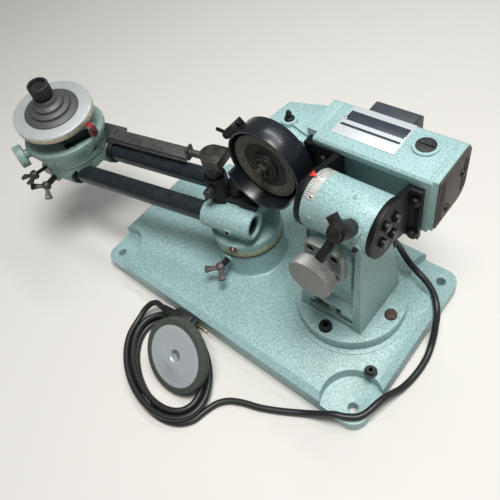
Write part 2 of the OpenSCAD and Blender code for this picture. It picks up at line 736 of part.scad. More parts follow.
// Wing bolt along +Z, stud from z0, hub from z1
module wing(z0, z1, turn, r) {
  cyl_z(r, z0, z1 + 1);
  cyl_z(6.2, z1, z1 + 7.5);
  rotate([0, 0, turn]) rotate([90, 0, 0]) translate([0, 0, -1.7]) linear_extrude(height = 3.4) for (s = [-1, 1]) {
    translate([s * 4, z1 + 4]) rotate(-s * 62) translate([-3.6, 0]) square([7.2, 8]);
    translate([s * 11.2, z1 + 7.8]) circle(r = 4.6);
  }
}
module pedestal_wing() {
  color([0.22, 0.20, 0.19]) translate([arm_x, arm_y, base_h + 26]) rotate([90, 0, 0]) wing(14, 54, 0, bolt_r);
}
module post_screw() {
  color([0.24, 0.22, 0.20]) at_arm() translate([post_x, post_y, 123]) rotate([-90, 0, 0]) {
    cyl_z(3, post_r + 2 * gap, holder_r + 3);
    cyl_z(5.5, holder_r + gap, holder_r + 9);
    translate([0, 0, holder_r + 6]) rotate([0, 0, 60]) cyl_x(2, -4, 14);
  }
}
module rest_post() {
  color([0.30, 0.31, 0.31]) at_arm() {
    cyl_z(post_r, stop_top + 2, cap_z + 1, post_x, post_y);
    difference() {
      union() {
        cyl_z(12.6, cap_z, cap_z + cap_t, 15.5, 5.2);
        box(0.5, 15.5, -7.4, 17.8, cap_z, cap_z + cap_t);
      }
      cyl_x(bolt_r + fit, 16, 40, post_y - 1, cap_z + 6);
    }
  }
}
module cap_screw() {
  color([0.20, 0.20, 0.19]) at_arm() translate([0, post_y - 1, cap_z + 6]) {
    cyl_x(bolt_r, 17, 43);
    box(42, 45, -6, 6, -7, 7);
  }
}

// Carriage, swivel table and blade holder
module carriage_casting() {
  color([0.62, 0.72, 0.67]) at_carriage() difference() {
    union() {
      cyl_z(44, rail_z + 4, pad_top);
      cyl_x(tube_r, -19, 33, rail_s, rail_z);
      cyl_x(tube_r, -42, 18, -rail_s, rail_z);
      box(-26, 26, -rail_s, rail_s, rail_z - 6, rail_z + 12);
      cyl_y(8, rail_s, rail_s + tube_r + 4, 8, rail_z);
    }
    for (s = [-1, 1]) cyl_x(rail_r + fit, -60, 60, s * rail_s, rail_z);
    cyl_y(bolt_r + fit, rail_s, rail_s + tube_r + 6, 8, rail_z);
    cyl_x(tube_r - 1 + gap, -30, -19, rail_s, rail_z);
    rotate([0, 0, lock_angle]) cyl_x(lock_r + fit, spigot_r, 50, 0, lock_z);
    cyl_z(spigot_r + fit, spigot_z - 2 * gap, pad_top + 1);
    cyl_x(tube_r - 1 + gap, -60, -42, -rail_s, rail_z);
  }
}
module rail_wipers() {
  color([0.08, 0.08, 0.08]) at_carriage() {
    difference() {
      cyl_x(tube_r - 1, -25, -19, rail_s, rail_z);
      cyl_x(rail_r + fit, -40, 0, rail_s, rail_z);
    }
    difference() {
      cyl_x(tube_r - 1, -48, -42, -rail_s, rail_z);
      cyl_x(rail_r + fit, -60, 0, -rail_s, rail_z);
    }
  }
}
module guide_bar() {
  color([0.30, 0.31, 0.32]) at_carriage() difference() {
    union() {
      box(-169, -6, -43, -25, bar_z + 2, bar_z + 6);
      box(-169, -20, -40, -23, bar_z, bar_z + 2.5);
      box(-57, -6, -49, -40, bar_z + 2, bar_z + 6);
      box(-52, -8, -44, -22, rail_z + 4, bar_z + 0.5);
    }
    cyl_x(tube_r, -60, 60, -rail_s, rail_z);
    cyl_z(44, rail_z, pad_top);
    cyl_z(table_r + 1, pad_top - 0.5, bar_z + 20);
    for (x = [-46, -36]) cyl_z(1.6, bar_z - 4, bar_z + 10, x, -36);
  }
}
module rail_wing() {
  color([0.20, 0.19, 0.18]) at_carriage() translate([8, 0, rail_z]) rotate([-90, 0, 0])
    wing(rail_s + rail_r + gap, rail_s + tube_r + 18, -12, bolt_r);
}
module table_wing() {
  color([0.20, 0.19, 0.18]) at_carriage() rotate([0, 0, lock_angle]) translate([0, 0, lock_z]) rotate([0, 90, 0])
    wing(spigot_r + 2 * gap, table_r + 14, 80, lock_r);
}
module swivel_table() {
  color([0.60, 0.71, 0.66]) at_table() {
    difference() {
      union() {
        rotate_extrude() polygon([[0, table_z], [table_r, table_z], [table_r, table_z + 6], [bowl_r, bowl_z - 6],
          [bowl_r, bowl_z - 1], [bowl_r - 1, bowl_z], [0, bowl_z]]);
        cyl_z(spigot_r, spigot_z, table_z + 1);
      }
      box(-table_r + 2, boss_r + 7, lug_back - gap, lug_front + gap, tilt_z - boss_r - 1, bowl_z + 1);
      cyl_y(pin_r, lug_back - 20, lug_front + 20, 0, tilt_z);
    }
    cyl_y(pin_r, lug_back - 20, bowl_r + 6, 0, tilt_z);
    cyl_y(cheek_r, bowl_r + 5, bowl_r + 15, 0, tilt_z);
  }
}
module tilt_yoke() {
  color([0.58, 0.69, 0.64]) at_tilt() difference() {
    union() {
      cyl_z(42, yoke_z, yoke_z + yoke_t);
      cyl_y(boss_r, lug_back, lug_front);
      box(-9, 9, lug_back, lug_front, 0, yoke_z + 1);
      rotate([0, 0, 213]) {
        box(36, bowl_r + 3, -4, 4, yoke_z, yoke_z + yoke_t);
        box(bowl_r + 1, bowl_r + 3, -5, 5, 10, yoke_z + yoke_t);
      }
    }
    cyl_y(pin_r + fit, -70, 70);
    cyl_z(10 + fit, boss_r + 1, 60);
  }
}
module index_disc() {
  color([0.70, 0.71, 0.70]) at_tilt() {
    rotate_extrude() polygon([[0, yoke_z + 0.5], [10, yoke_z + 0.5], [10, index_z], [index_r - 2, index_z],
      [index_r, index_z + 1], [index_r, cone_z - 1], [index_r - 1, cone_z], [0, cone_z]]);
    cyl_z(arbor_r, cone_z - 1, clamp_z + 10);
  }
  color([0.22, 0.22, 0.22]) at_tilt() rotate_extrude() polygon([[arbor_r - 1, cone_z - sink], [34, cone_z - sink],
    [34, cone_z + 2], [26, cone_z + 5.5], [25.5, cone_z + 7.5], [19, cone_z + 10.5], [18.5, cone_z + 12.5],
    [13, cone_z + 16], [12.5, cone_z + cone_h], [arbor_r - 1, cone_z + cone_h]]);
}
module clamp_knob() {
  color([0.05, 0.05, 0.05]) at_tilt() difference() {
    translate([0, 0, clamp_z]) rotate_extrude() polygon([[0, 0], [clamp_r - 2.5, 0], [clamp_r, 5], [clamp_r, 18],
      [clamp_r - 1, 19], [clamp_r - 3, 19], [clamp_r - 3.6, 15.5], [0, 15.5]]);
    cyl_z(arbor_r + fit, clamp_z - 1, clamp_z + 11);
  }
}

// Mains cord, plug and spare wheel
cord_dx = base_l / 2 - 205;
cord_pts = [[137, 59.2, 84], [137, 66, 83.6], [138, 73, 78.5], [141, 77, 68], [147, 77.5, 57], [156, 76, 48],
  [166, 74.5, 41.5], [176, 72, 38.2], [185, 67, 38], [193, 61, 38], [201, 52, 38], [207.5, 43, 33.5],
  [211.5, 34, 24], [214.5, 26, 14], [217, 16, 6.8], [219, 4, 4.2], [219.5, -12, 3.9], [218, -28, 4.2],
  [215.5, -42, 7], [212, -54, 13], [208.5, -66, 19], [206, -77, 21.2], [203, -89, 21], [197.5, -99, 21],
  [187, -106, 21], [176, -111, 20.6], [166, -115.5, 14.5], [156, -119.5, 8.5], [145, -125, 4.8], [124, -137, 3.9],
  [104, -147, 3.9], [86, -153.5, 3.9], [71, -161.5, 3.9], [61.5, -172.5, 3.9]];
cord_route = [for (p = cord_pts) p + [p[0] > 120 ? cord_dx : 0, 0, 0]];
coil_c = [-17, -169.5];
coil_a = 77;
coil_b = 50;
coil_lean = -24;
coil_start = 15;
coil_turns = 3.486;
coil_step = 8.6;
coil_rise = 8;
function coil_in(s) = s < coil_turns / 2 ? coil_step * s : coil_step * (coil_turns - s);
function ramp(t) = let (c = max(0, min(1, t))) c * c * (3 - 2 * c);
function coil_pt(s) = let (a = coil_start - 360 * s, k = coil_in(s), x = (coil_a - k) * cos(a), y = (coil_b - k) * sin(a))
  [coil_c[0] + x * cos(coil_lean) - y * sin(coil_lean), coil_c[1] + x * sin(coil_lean) + y * cos(coil_lean),
    3.9 + coil_rise * ramp((s - coil_turns / 2 + 0.25) / 0.5)];
coil_loops = [for (i = [0:82]) coil_pt(coil_turns * i / 82)];
coil_tail = [[-91.5, -146, 13.2], [-91.5, -136, 16.4], [-87.5, -127.5, 20.2], [-80, -123.6, 23.6], [-71, -124, 25.2],
  [-64, -124, 25.4]];
coil_path = concat(coil_loops, coil_tail);
run_path = concat(smooth(cord_route, 2), [(cord_route[len(cord_route) - 1] + coil_loops[0]) / 2, coil_loops[0]]);
near = min([for (i = [0:len(coil_loops) - 1]) for (j = [i + 12:1:len(coil_loops) - 1]) norm(coil_loops[i] - coil_loops[j])]);
function span(p, i) = i == 0 ? 0 : norm(p[i] - p[i - 1]) + span(p, i - 1);
echo(coil_gap = near - cord_d, run_length = span(run_path, len(run_path) - 1),
  coil_length = span(coil_path, len(coil_path) - 1));
module cord_run() {
  color([0.06, 0.06, 0.06]) tube(run_path, cord_r, 10, [0, 0, 1]);
}
module cord_coil() {
  color([0.06, 0.06, 0.06]) tube(coil_path, cord_r, 6, [0, 0, 1]);
}
plug_y = -124;
plug_z = 25.4;
plug_half = 9.6;
module plug_body() {
  color([0.06, 0.06, 0.06]) difference() {
    union() {
      translate([-64, plug_y, plug_z]) rotate([0, 90, 0]) cylinder(r1 = 4.6, r2 = 6.4, h = 19);
      translate([-46, 0, 0]) rotate([90, 0, 90]) linear_extrude(height = 34)
        round_square(plug_y - 11, plug_y + 11, plug_z - plug_half, plug_z + plug_half, 4);
    }
    for (s = [-1, 1]) box(-26, -11, plug_y + s * 6.35 - 0.75, plug_y + s * 6.35 + 0.75, plug_z - 3.15, plug_z + 3.15);
  }
}
module plug_pins() {
  color([0.72, 0.66, 0.50]) for (s = [-1, 1]) {
    box(-26, 5, plug_y + s * 6.35 - 0.75, plug_y + s * 6.35 + 0.75, plug_z - 3.15, plug_z + 3.15);
  }
}
spare_t = 10;
spare_lean = 48;
spare_x = 1;
spare_y = -165.5;
module at_spare() {
  translate([spare_x, spare_y, 0.2 + spare_t * cos(spare_lean) + spare_r * sin(spare_lean)]) rotate([spare_lean, 0, 0]) children();
}
module spare_wheel() {
  color([0.68, 0.69, 0.70]) at_spare() rotate_extrude() polygon([[9, -spare_t], [spare_r - 8, -spare_t],
    [spare_r - 8, 0], [spare_r - 12, -1], [20, -2.4], [18, -2], [9, -2]]);
}
module spare_rim() {
  color([0.20, 0.23, 0.20]) at_spare() rotate_extrude() polygon([[spare_r - 8, -spare_t + 1], [spare_r - 1, -spare_t],
    [spare_r, -spare_t + 1], [spare_r, -1], [spare_r - 1, 0], [spare_r - 8, 0]]);
}

base_casting();
arm_pedestal();
swivel_scale();
pivot_bolt();
turntable_disc();
turntable_bolts();
column_foot();
hinge_spacer();
return_spring();
cord_run();
cord_coil();
plug_body();
plug_pins();
spare_wheel();
spare_rim();
column_casting();
hinge_pin();
feed_flange();
flange_screws();
cord_gland();
feed_knob();
feed_screw();
clamp_lever();
pivot_shaft();
left_bracket();
right_bracket();
bracket_bolts();
tilt_pointer();
motor_housing();
end_cover();
gear_housing();
guard_stud();
brush_caps();
stator();
bearings();
switch_box();
switch_rocker();
wheel_guard();
guard_bracket();
armature();
spindle();
grinding_wheel();
wheel_nut();
arm_head();
arm_rails();
stop_plate();
arm_pointer();
pedestal_wing();
post_screw();
rest_post();
cap_screw();
carriage_casting();
rail_wipers();
guide_bar();
rail_wing();
table_wing();
swivel_table();
tilt_yoke();
index_disc();
clamp_knob();
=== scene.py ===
"""Finishes, fine detail and studio for the bench sharpener for circular saw blades."""
import json
import math

import bmesh
import bpy
from mathutils import Matrix, Vector


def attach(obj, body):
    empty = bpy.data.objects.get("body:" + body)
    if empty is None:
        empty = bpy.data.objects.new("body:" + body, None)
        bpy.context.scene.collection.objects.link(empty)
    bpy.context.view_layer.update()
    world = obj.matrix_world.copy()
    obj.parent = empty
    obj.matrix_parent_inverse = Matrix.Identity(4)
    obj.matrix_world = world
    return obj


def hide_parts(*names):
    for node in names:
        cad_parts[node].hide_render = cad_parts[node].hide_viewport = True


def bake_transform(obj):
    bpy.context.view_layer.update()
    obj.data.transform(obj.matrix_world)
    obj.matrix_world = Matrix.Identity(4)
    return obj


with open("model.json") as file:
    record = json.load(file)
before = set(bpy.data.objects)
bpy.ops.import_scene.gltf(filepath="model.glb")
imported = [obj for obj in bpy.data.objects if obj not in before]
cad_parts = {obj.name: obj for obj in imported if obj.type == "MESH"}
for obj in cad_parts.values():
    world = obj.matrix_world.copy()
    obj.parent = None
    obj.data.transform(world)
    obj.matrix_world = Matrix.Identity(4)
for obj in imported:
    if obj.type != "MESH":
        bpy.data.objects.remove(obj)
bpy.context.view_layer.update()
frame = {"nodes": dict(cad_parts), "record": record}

CAD = frame["nodes"]
BODY_OF = {node: body for body, nodes in frame["record"]["behaviour"]["bodies"].items() for node in nodes}
MM = 0.001


def move(x, y, z):
    return Matrix.Translation((x, y, z))


def turn(degrees, axis):
    return Matrix.Rotation(math.radians(degrees), 4, axis)


# Sizes shared with the CAD source, in millimetres and degrees
BASE_H = 34
COLUMN_X, COLUMN_Y = 123.5, 5.5
TURNTABLE_TOP, TURNTABLE_BOLT_R = 17, 49.5
BARREL_R, BARREL_Y, BARREL_Z = 27.5, -7.5, 169
FEED_X, FEED_Z = -1.2, 122
FEED_KNOB_R, CLAMP_KNOB_R = 23, 12.6
SPINDLE_X, SPINDLE_Z, SPINDLE_R = -97.5, 162.5, 6
WHEEL_R, WHEEL_T, WHEEL_Y, NUT_Y = 38, 12, 3.5, 6.5
PEDESTAL_X, PEDESTAL_Y = -22, 5
ARM_ANGLE, CARRIAGE_AT = 190.6, 258
TABLE_R, TABLE_ANGLE = 46, -30
INDEX_R, TILT_Z, TILT_ANGLE = 49.6, 124, -8
HINGE_Y, HINGE_Z = -25.5, 38
SPARE_X, SPARE_Y, SPARE_LIFT = 1, -165.5, 0.2
SPARE_R, SPARE_T, SPARE_LEAN = 44.3, 10, 48
PLUG_X, PLUG_Y, PLUG_Z = -56, -124, 25.4
CORD_R = 3.7

# Frames of the sub-assemblies
COLUMN = move(COLUMN_X, COLUMN_Y, BASE_H)
BARREL = COLUMN @ move(0, BARREL_Y, BARREL_Z)
WHEEL = COLUMN @ move(SPINDLE_X, WHEEL_Y, SPINDLE_Z) @ turn(-90, "X")
NUT = COLUMN @ move(SPINDLE_X, NUT_Y, SPINDLE_Z) @ turn(90, "X")
PEDESTAL = move(PEDESTAL_X, PEDESTAL_Y, BASE_H)
ARM = PEDESTAL @ turn(ARM_ANGLE, "Z")
CARRIAGE = ARM @ move(CARRIAGE_AT, 0, 0)
TABLE = CARRIAGE @ turn(TABLE_ANGLE, "Z")
HOLDER = TABLE @ move(0, 0, TILT_Z) @ turn(TILT_ANGLE, "Y")
SPARE_Z = (SPARE_LIFT + SPARE_T * math.cos(math.radians(SPARE_LEAN))
           + SPARE_R * math.sin(math.radians(SPARE_LEAN)))
SPARE = move(SPARE_X, SPARE_Y, SPARE_Z) @ turn(SPARE_LEAN, "X")
PLUG = move(PLUG_X, PLUG_Y, PLUG_Z) @ turn(90, "Y")


# Finishes
def tone(red, green, blue):
    """Display colour from 0 to 255, as the linear colour that a shader takes."""
    def linear(c):
        c /= 255
        return c / 12.92 if c <= 0.04045 else ((c + 0.055) / 1.055) ** 2.4
    return linear(red), linear(green), linear(blue), 1.0


class Finish:
    """One node material on Object coordinates; sizes of patterns are in millimetres."""

    def __init__(self, name, color, roughness, metallic=0.0, **sockets):
        self.material = bpy.data.materials.new(name)
        self.material.use_nodes = True
        self.tree = self.material.node_tree
        self.shader = self.tree.nodes["Principled BSDF"]
        self.shader.inputs["Base Color"].default_value = color
        self.shader.inputs["Roughness"].default_value = roughness
        self.shader.inputs["Metallic"].default_value = metallic
        for key, value in sockets.items():
            self.shader.inputs[key.replace("_", " ")].default_value = value
        self.place = self.tree.nodes.new("ShaderNodeTexCoord").outputs["Object"]

    def add(self, kind, feeds, out=0, **props):
        """Adds a node whose inputs are fed by sockets or plain values, and gives one of its outputs."""
        node = self.tree.nodes.new(kind)
        for key, value in props.items():
            setattr(node, key, value)
        for key, value in feeds.items():
            if isinstance(value, bpy.types.NodeSocket):
                self.tree.links.new(value, node.inputs[key])
            else:
                node.inputs[key].default_value = value
        return node.outputs[out]

    def local(self, place):
        """Millimetres in a sub-assembly's own frame."""
        back = place.inverted()
        return self.add("ShaderNodeMapping", {"Vector": self.place, "Scale": (1 / MM,) * 3,
                                              "Rotation": back.to_euler(), "Location": back.to_translation()})

    def split(self, vector):
        self.add("ShaderNodeSeparateXYZ", {"Vector": vector})
        node = self.tree.nodes[-1]
        return node.outputs["X"], node.outputs["Y"], node.outputs["Z"]

    def math(self, operation, a, b=0.0):
        return self.add("ShaderNodeMath", {0: a, 1: b}, operation=operation)

    def noise(self, size, detail=2.0, rough=0.5, at=None):
        """Noise on the piece's own place, or on a vector that is already in millimetres."""
        feeds = {"Detail": detail, "Roughness": rough}
        if at:
            feeds.update(Vector=at, Scale=1 / size)
        else:
            feeds.update(Vector=self.place, Scale=1 / (size * MM))
        return self.add("ShaderNodeTexNoise", feeds)

    def fit(self, value, low, high, to_low=0.0, to_high=1.0):
        """Stretches a range of values to another one."""
        return self.add("ShaderNodeMapRange", {"Value": value, "From Min": low, "From Max": high,
                                               "To Min": to_low, "To Max": to_high})

    def patches(self, size, detail, rough, low, high, most=1.0):
        """Patches of noise: 0 below the low level, most above the high one."""
        return self.fit(self.noise(size, detail, rough), low, high, 0, most)

    def mix(self, share, a, b):
        """Colour a where share is 0, b where it is 1."""
        return self.add("ShaderNodeMix", {0: share, 6: a, 7: b}, 2, data_type="RGBA")

    def edges(self, width):
        """1 along edges, 0 on flat faces."""
        soft = self.add("ShaderNodeBevel", {"Radius": width * MM}, samples=4)
        true = self.add("ShaderNodeNewGeometry", {}, "Normal")
        agree = self.add("ShaderNodeVectorMath", {0: soft, 1: true}, "Value", operation="DOT_PRODUCT")
        return self.fit(agree, low=0.985, high=0.86)

    def color(self, socket):
        self.tree.links.new(socket, self.shader.inputs["Base Color"])

    def rough(self, socket):
        self.tree.links.new(socket, self.shader.inputs["Roughness"])

    def bump(self, height, depth, strength=1.0):
        """Relief from a height of 0 to 1, with its depth in millimetres."""
        normal = self.add("ShaderNodeBump", {"Height": height, "Distance": depth * MM, "Strength": strength})
        self.tree.links.new(normal, self.shader.inputs["Normal"])


def hammered_paint(name, light, dark, grain):
    """Pale hammered enamel: dark flecks between raised drops, chips along the edges."""
    f = Finish(name, light, 0.42)
    drops = f.noise(grain, detail=2.5, rough=0.62)
    flecked = f.mix(f.fit(drops, 0.40, 0.60), dark, light)
    haze = f.patches(34, detail=3, rough=0.6, low=0.42, high=0.72, most=0.20)
    chipped = f.patches(5, detail=4, rough=0.7, low=0.60, high=0.66)
    specks = f.patches(7.5, detail=5, rough=0.75, low=0.735, high=0.75)
    marks = f.math("MAXIMUM", f.math("MULTIPLY", f.edges(0.7), chipped), specks)
    f.color(f.mix(marks, f.mix(haze, flecked, tone(118, 142, 136)), tone(44, 46, 44)))
    f.rough(f.fit(drops, 0.35, 0.65, to_low=0.50, to_high=0.34))
    f.bump(drops, depth=0.10)
    return f.material


def coated_steel(name, light, dark, roughness, metallic=0.0, wear=tone(120, 118, 112), worn=0.5, **sockets):
    """Black or blued steel with dust, fine scratches and edges rubbed bright."""
    f = Finish(name, light, roughness, metallic, **sockets)
    dusty = f.mix(f.patches(9, detail=4, rough=0.65, low=0.35, high=0.68), dark, light)
    handled = f.patches(6, detail=3, rough=0.6, low=0.40, high=0.62, most=worn)
    f.color(f.mix(f.math("MULTIPLY", f.edges(0.45), handled), dusty, wear))
    scratches = f.noise(0.9, detail=3, rough=0.6)
    f.rough(f.fit(scratches, 0.3, 0.7, roughness * 0.85, min(1.0, roughness * 1.2)))
    f.bump(scratches, depth=0.02, strength=0.6)
    return f.material


def turned_metal(name, color, roughness, place, pitch, metallic, stained=0.12):
    """Metal with the fine rings of a lathe about a frame's own Z."""
    f = Finish(name, color, roughness, metallic)
    x, y, z = f.split(f.local(place))
    radius = f.math("SQRT", f.math("ADD", f.math("MULTIPLY", x, x), f.math("MULTIPLY", y, y)))
    across = f.add("ShaderNodeCombineXYZ", {"X": radius, "Y": f.math("MULTIPLY", z, 3.0)})
    rings = f.noise(pitch, detail=3, rough=0.7, at=across)
    shade = tuple(c * 0.55 for c in color[:3]) + (1.0,)
    ringed = f.mix(f.fit(rings, 0.3, 0.7, to_high=0.35), color, shade)
    stains = f.patches(14, detail=4, rough=0.65, low=0.45, high=0.75, most=stained)
    f.color(f.mix(stains, ringed, tone(120, 116, 104)))
    f.rough(f.fit(rings, 0.3, 0.7, roughness * 0.8, roughness * 1.3))
    f.bump(rings, depth=0.015, strength=0.5)
    return f.material


def plain_metal(name, color, roughness, stain=tone(110, 98, 80), stained=0.35, metallic=1.0):
    """Bare metal with small stains."""
    f = Finish(name, color, roughness, metallic)
    spots = f.patches(3.2, detail=4, rough=0.7, low=0.5, high=0.72, most=stained)
    f.color(f.mix(spots, color, stain))
    f.rough(f.fit(f.noise(1.4, detail=3), 0.3, 0.7, roughness * 0.8, min(1.0, roughness * 1.3)))
    f.bump(f.noise(0.8, detail=3), depth=0.02, strength=0.5)
    return f.material


def moulded(name, color, roughness, grain=0.7, depth=0.03, dust=tone(92, 92, 88)):
    """Moulded plastic or rubber with a fine skin and dust in its hollows."""
    f = Finish(name, color, roughness)
    skin = f.noise(grain, detail=3, rough=0.6)
    dusty = f.patches(11, detail=4, rough=0.65, low=0.48, high=0.80, most=0.25)
    f.color(f.mix(dusty, color, dust))
    f.rough(f.fit(skin, 0.3, 0.7, roughness * 0.85, min(1.0, roughness * 1.15)))
    f.bump(skin, depth, strength=0.6)
    return f.material


def grit(name, light, dark, size, depth=0.12, smeared=0.45):
    """Bonded abrasive: grains of two tones, smeared in places."""
    f = Finish(name, light, 0.9)
    grains = f.noise(size, detail=3, rough=0.75)
    grained = f.mix(f.fit(grains, 0.38, 0.62), dark, light)
    smears = f.patches(9, detail=4, rough=0.6, low=0.40, high=0.70, most=smeared)
    f.color(f.mix(smears, grained, tone(84, 82, 77)))
    f.bump(grains, depth)
    return f.material


def enamel(name, color, roughness=0.35):
    """Glossy enamel, worn in small spots."""
    f = Finish(name, color, roughness, Coat_Weight=0.3, Coat_Roughness=0.2)
    spots = f.patches(2.6, detail=4, rough=0.7, low=0.58, high=0.72, most=0.55)
    f.color(f.mix(spots, color, tone(70, 40, 36)))
    f.bump(f.noise(1.1), depth=0.03, strength=0.5)
    return f.material


# Half width of a mark as a share of the pitch, reach of a short mark, extra reach of every fifth one
MARK_WIDTH, MARK_SHORT, MARK_LONGER, LONG_EVERY = 0.11, 0.40, 0.35, 5


def scale_marks(f, angle, per_turn, across):
    """Marks round a turn, every fifth one long: 1 on a mark. across is 0 to 1 over the band."""
    count = f.math("MULTIPLY", angle, per_turn / (2 * math.pi))
    near = f.math("ABSOLUTE", f.math("SUBTRACT", f.math("FRACT", count), 0.5))
    mark = f.math("LESS_THAN", near, MARK_WIDTH)
    fifths = f.math("FRACT", f.math("MULTIPLY", count, 1 / LONG_EVERY))
    near_fifth = f.math("ABSOLUTE", f.math("SUBTRACT", fifths, 0.5 / LONG_EVERY))
    longer = f.math("MULTIPLY", f.math("LESS_THAN", near_fifth, 0.3 / LONG_EVERY), MARK_LONGER)
    reach = f.math("ADD", longer, MARK_SHORT)
    return f.math("MULTIPLY", mark, f.math("LESS_THAN", across, reach))


def scale_ring(name, ground, ink, stain, place, low, high, per_turn, roughness=0.45, metallic=0.5,
               stained=0.6):
    """A graduated band about a frame's own Z, with marks that rise from its low edge."""
    f = Finish(name, ground, roughness, metallic)
    x, y, z = f.split(f.local(place))
    marks = scale_marks(f, f.math("ARCTAN2", y, x), per_turn, f.fit(z, low, high))
    tarnish = f.patches(6, detail=4, rough=0.7, low=0.42, high=0.70, most=stained)
    f.color(f.mix(marks, f.mix(tarnish, ground, stain), ink))
    f.bump(f.noise(0.8, detail=3), depth=0.02, strength=0.5)
    return f.material


# Paint
paint = hammered_paint("hammered_green_paint", tone(168, 200, 200), tone(122, 154, 154), grain=1.15)
# Darker copy of the same green paint: painted shade on the column foot, carriage, table, yoke and barrel
# screws
paint_in_painted_shade = hammered_paint("hammered_green_painted_shade", tone(150, 176, 169), tone(98, 124, 119), grain=1.2)
red_enamel = enamel("red_enamel", tone(206, 38, 30))
dark_red = enamel("dull_red_enamel", tone(126, 34, 30), roughness=0.5)

# Coated and dark steel
gloss_black = coated_steel("gloss_black_guard", tone(24, 29, 36), tone(16, 20, 25), roughness=0.28,
                           wear=tone(96, 96, 92), worn=0.7, Coat_Weight=0.3, Coat_Roughness=0.16)
satin_black = coated_steel("satin_black_plate", tone(17, 19, 21), tone(9, 10, 11), roughness=0.46,
                           worn=0.4, Specular_IOR_Level=0.25)
rail_black = coated_steel("blued_rail", tone(50, 58, 64), tone(36, 42, 48), roughness=0.24, metallic=0.4,
                          worn=0.3)
dark_screw = coated_steel("oxide_screw", tone(58, 58, 57), tone(34, 34, 34), roughness=0.45, metallic=0.6,
                          wear=tone(150, 148, 142), worn=0.9)
black_screw = coated_steel("black_socket_screw", tone(28, 29, 30), tone(14, 15, 16), roughness=0.38,
                           metallic=0.2, worn=0.7)
wing_steel = coated_steel("brown_wing_steel", tone(112, 104, 102), tone(84, 78, 76), roughness=0.5,
                          metallic=0.4, wear=tone(150, 142, 136), worn=0.7)
dark_wing = coated_steel("grey_wing_steel", tone(84, 84, 86), tone(52, 52, 53), roughness=0.45, metallic=0.5,
                         wear=tone(132, 132, 134), worn=0.8)
rusty = coated_steel("rusty_bolt", tone(96, 80, 72), tone(62, 50, 46), roughness=0.75, metallic=0.2,
                     wear=tone(132, 112, 98), worn=0.8)
post_steel = coated_steel("worn_post_steel", tone(84, 84, 80), tone(54, 54, 52), roughness=0.45, metallic=0.7,
                          wear=tone(170, 166, 156), worn=1.0)
bar_steel = coated_steel("grey_bar_steel", tone(86, 87, 86), tone(64, 65, 65), roughness=0.5, metallic=0.45,
                         wear=tone(150, 146, 138))
nut_steel = coated_steel("brown_nut_steel", tone(56, 51, 47), tone(32, 30, 28), roughness=0.5, metallic=0.5,
                         wear=tone(140, 128, 110), worn=0.7)

# Bare metal
bright_steel = plain_metal("bright_steel", tone(198, 198, 194), roughness=0.28)
spring_steel = plain_metal("spring_steel", tone(170, 168, 160), roughness=0.3)
flange_metal = plain_metal("flange_grey_metal", tone(150, 154, 148), roughness=0.45,
                           stain=tone(112, 116, 108), stained=0.5, metallic=0.35)
band_brown = plain_metal("band_seat_brown", tone(88, 76, 58), roughness=0.6, stain=tone(60, 50, 38),
                         stained=0.5, metallic=0.3)
knob_aluminium = plain_metal("feed_knob_aluminium", tone(150, 150, 147), roughness=0.5,
                             stain=tone(112, 108, 104), stained=0.5, metallic=0.6)
plate_silver = plain_metal("plate_silver", tone(204, 212, 214), roughness=0.36, stain=tone(180, 182, 180),
                           stained=0.3, metallic=0.35)
blade_brass = plain_metal("dull_blade_brass", tone(164, 152, 118), roughness=0.42, stain=tone(96, 84, 60),
                          stained=0.6)
winding = plain_metal("copper_winding", tone(150, 92, 56), roughness=0.4)
disc_metal = turned_metal("index_disc_metal", tone(214, 220, 220), roughness=0.36, place=HOLDER, pitch=0.5,
                          metallic=0.55)
cone_metal = turned_metal("blade_cone_metal", tone(82, 84, 83), roughness=0.5, place=HOLDER, pitch=0.6,
                          metallic=0.25, stained=0.05)
spare_metal = turned_metal("spare_wheel_metal", tone(206, 214, 218), roughness=0.36, place=SPARE, pitch=0.5,
                           metallic=0.5, stained=0.05)

# Plastic, rubber and abrasive
black_plastic = moulded("black_plastic", tone(26, 27, 28), roughness=0.45)
switch_plastic = moulded("switch_plastic", tone(52, 58, 66), roughness=0.5, grain=0.9)
ivory_plastic = moulded("ivory_plastic", tone(216, 212, 188), roughness=0.45, dust=tone(170, 160, 130))
panel_plastic = moulded("end_panel_plastic", tone(66, 59, 51), roughness=0.55, grain=1.2, depth=0.05,
                        dust=tone(96, 86, 72))
plate_black = moulded("plate_black", tone(44, 52, 62), roughness=0.4)
rubber = moulded("cord_rubber", tone(30, 32, 33), roughness=0.42, grain=1.6, dust=tone(66, 66, 64))
wheel_grit = grit("wheel_grit", tone(122, 120, 110), tone(20, 20, 19), size=1.5, smeared=0.25)
wheel_web = grit("wheel_web", tone(40, 40, 39), tone(22, 22, 22), size=2.2, depth=0.04)
spare_grit = grit("spare_grit", tone(72, 82, 74), tone(48, 58, 51), size=0.9, depth=0.05)

# Graduations, bare of figures
disc_marks = scale_ring("index_rim_scale", tone(206, 198, 176), tone(70, 62, 50), tone(160, 146, 116),
                        HOLDER, low=34.6, high=42.3, per_turn=90)
swivel_marks = scale_ring("swivel_ring_scale", tone(186, 184, 160), tone(66, 60, 48), tone(122, 110, 84),
                          PEDESTAL, low=38.4, high=45.6, per_turn=120)
table_marks = scale_ring("table_edge_scale", tone(116, 142, 134), tone(226, 230, 226), tone(96, 112, 104),
                         TABLE, low=103, high=108, per_turn=120, roughness=0.4, metallic=0.1, stained=0.3)
barrel_marks = scale_ring("barrel_scale_plate", tone(226, 226, 222), tone(96, 98, 98), tone(176, 172, 160),
                          BARREL @ turn(90, "Y"), low=-24, high=-14, per_turn=72, roughness=0.32,
                          metallic=0.55, stained=0.4)

# Shapes, in millimetres, each a new bmesh
SHARP_FROM, SMOOTH_BELOW, RIM_ONLY = 28, 34, 60


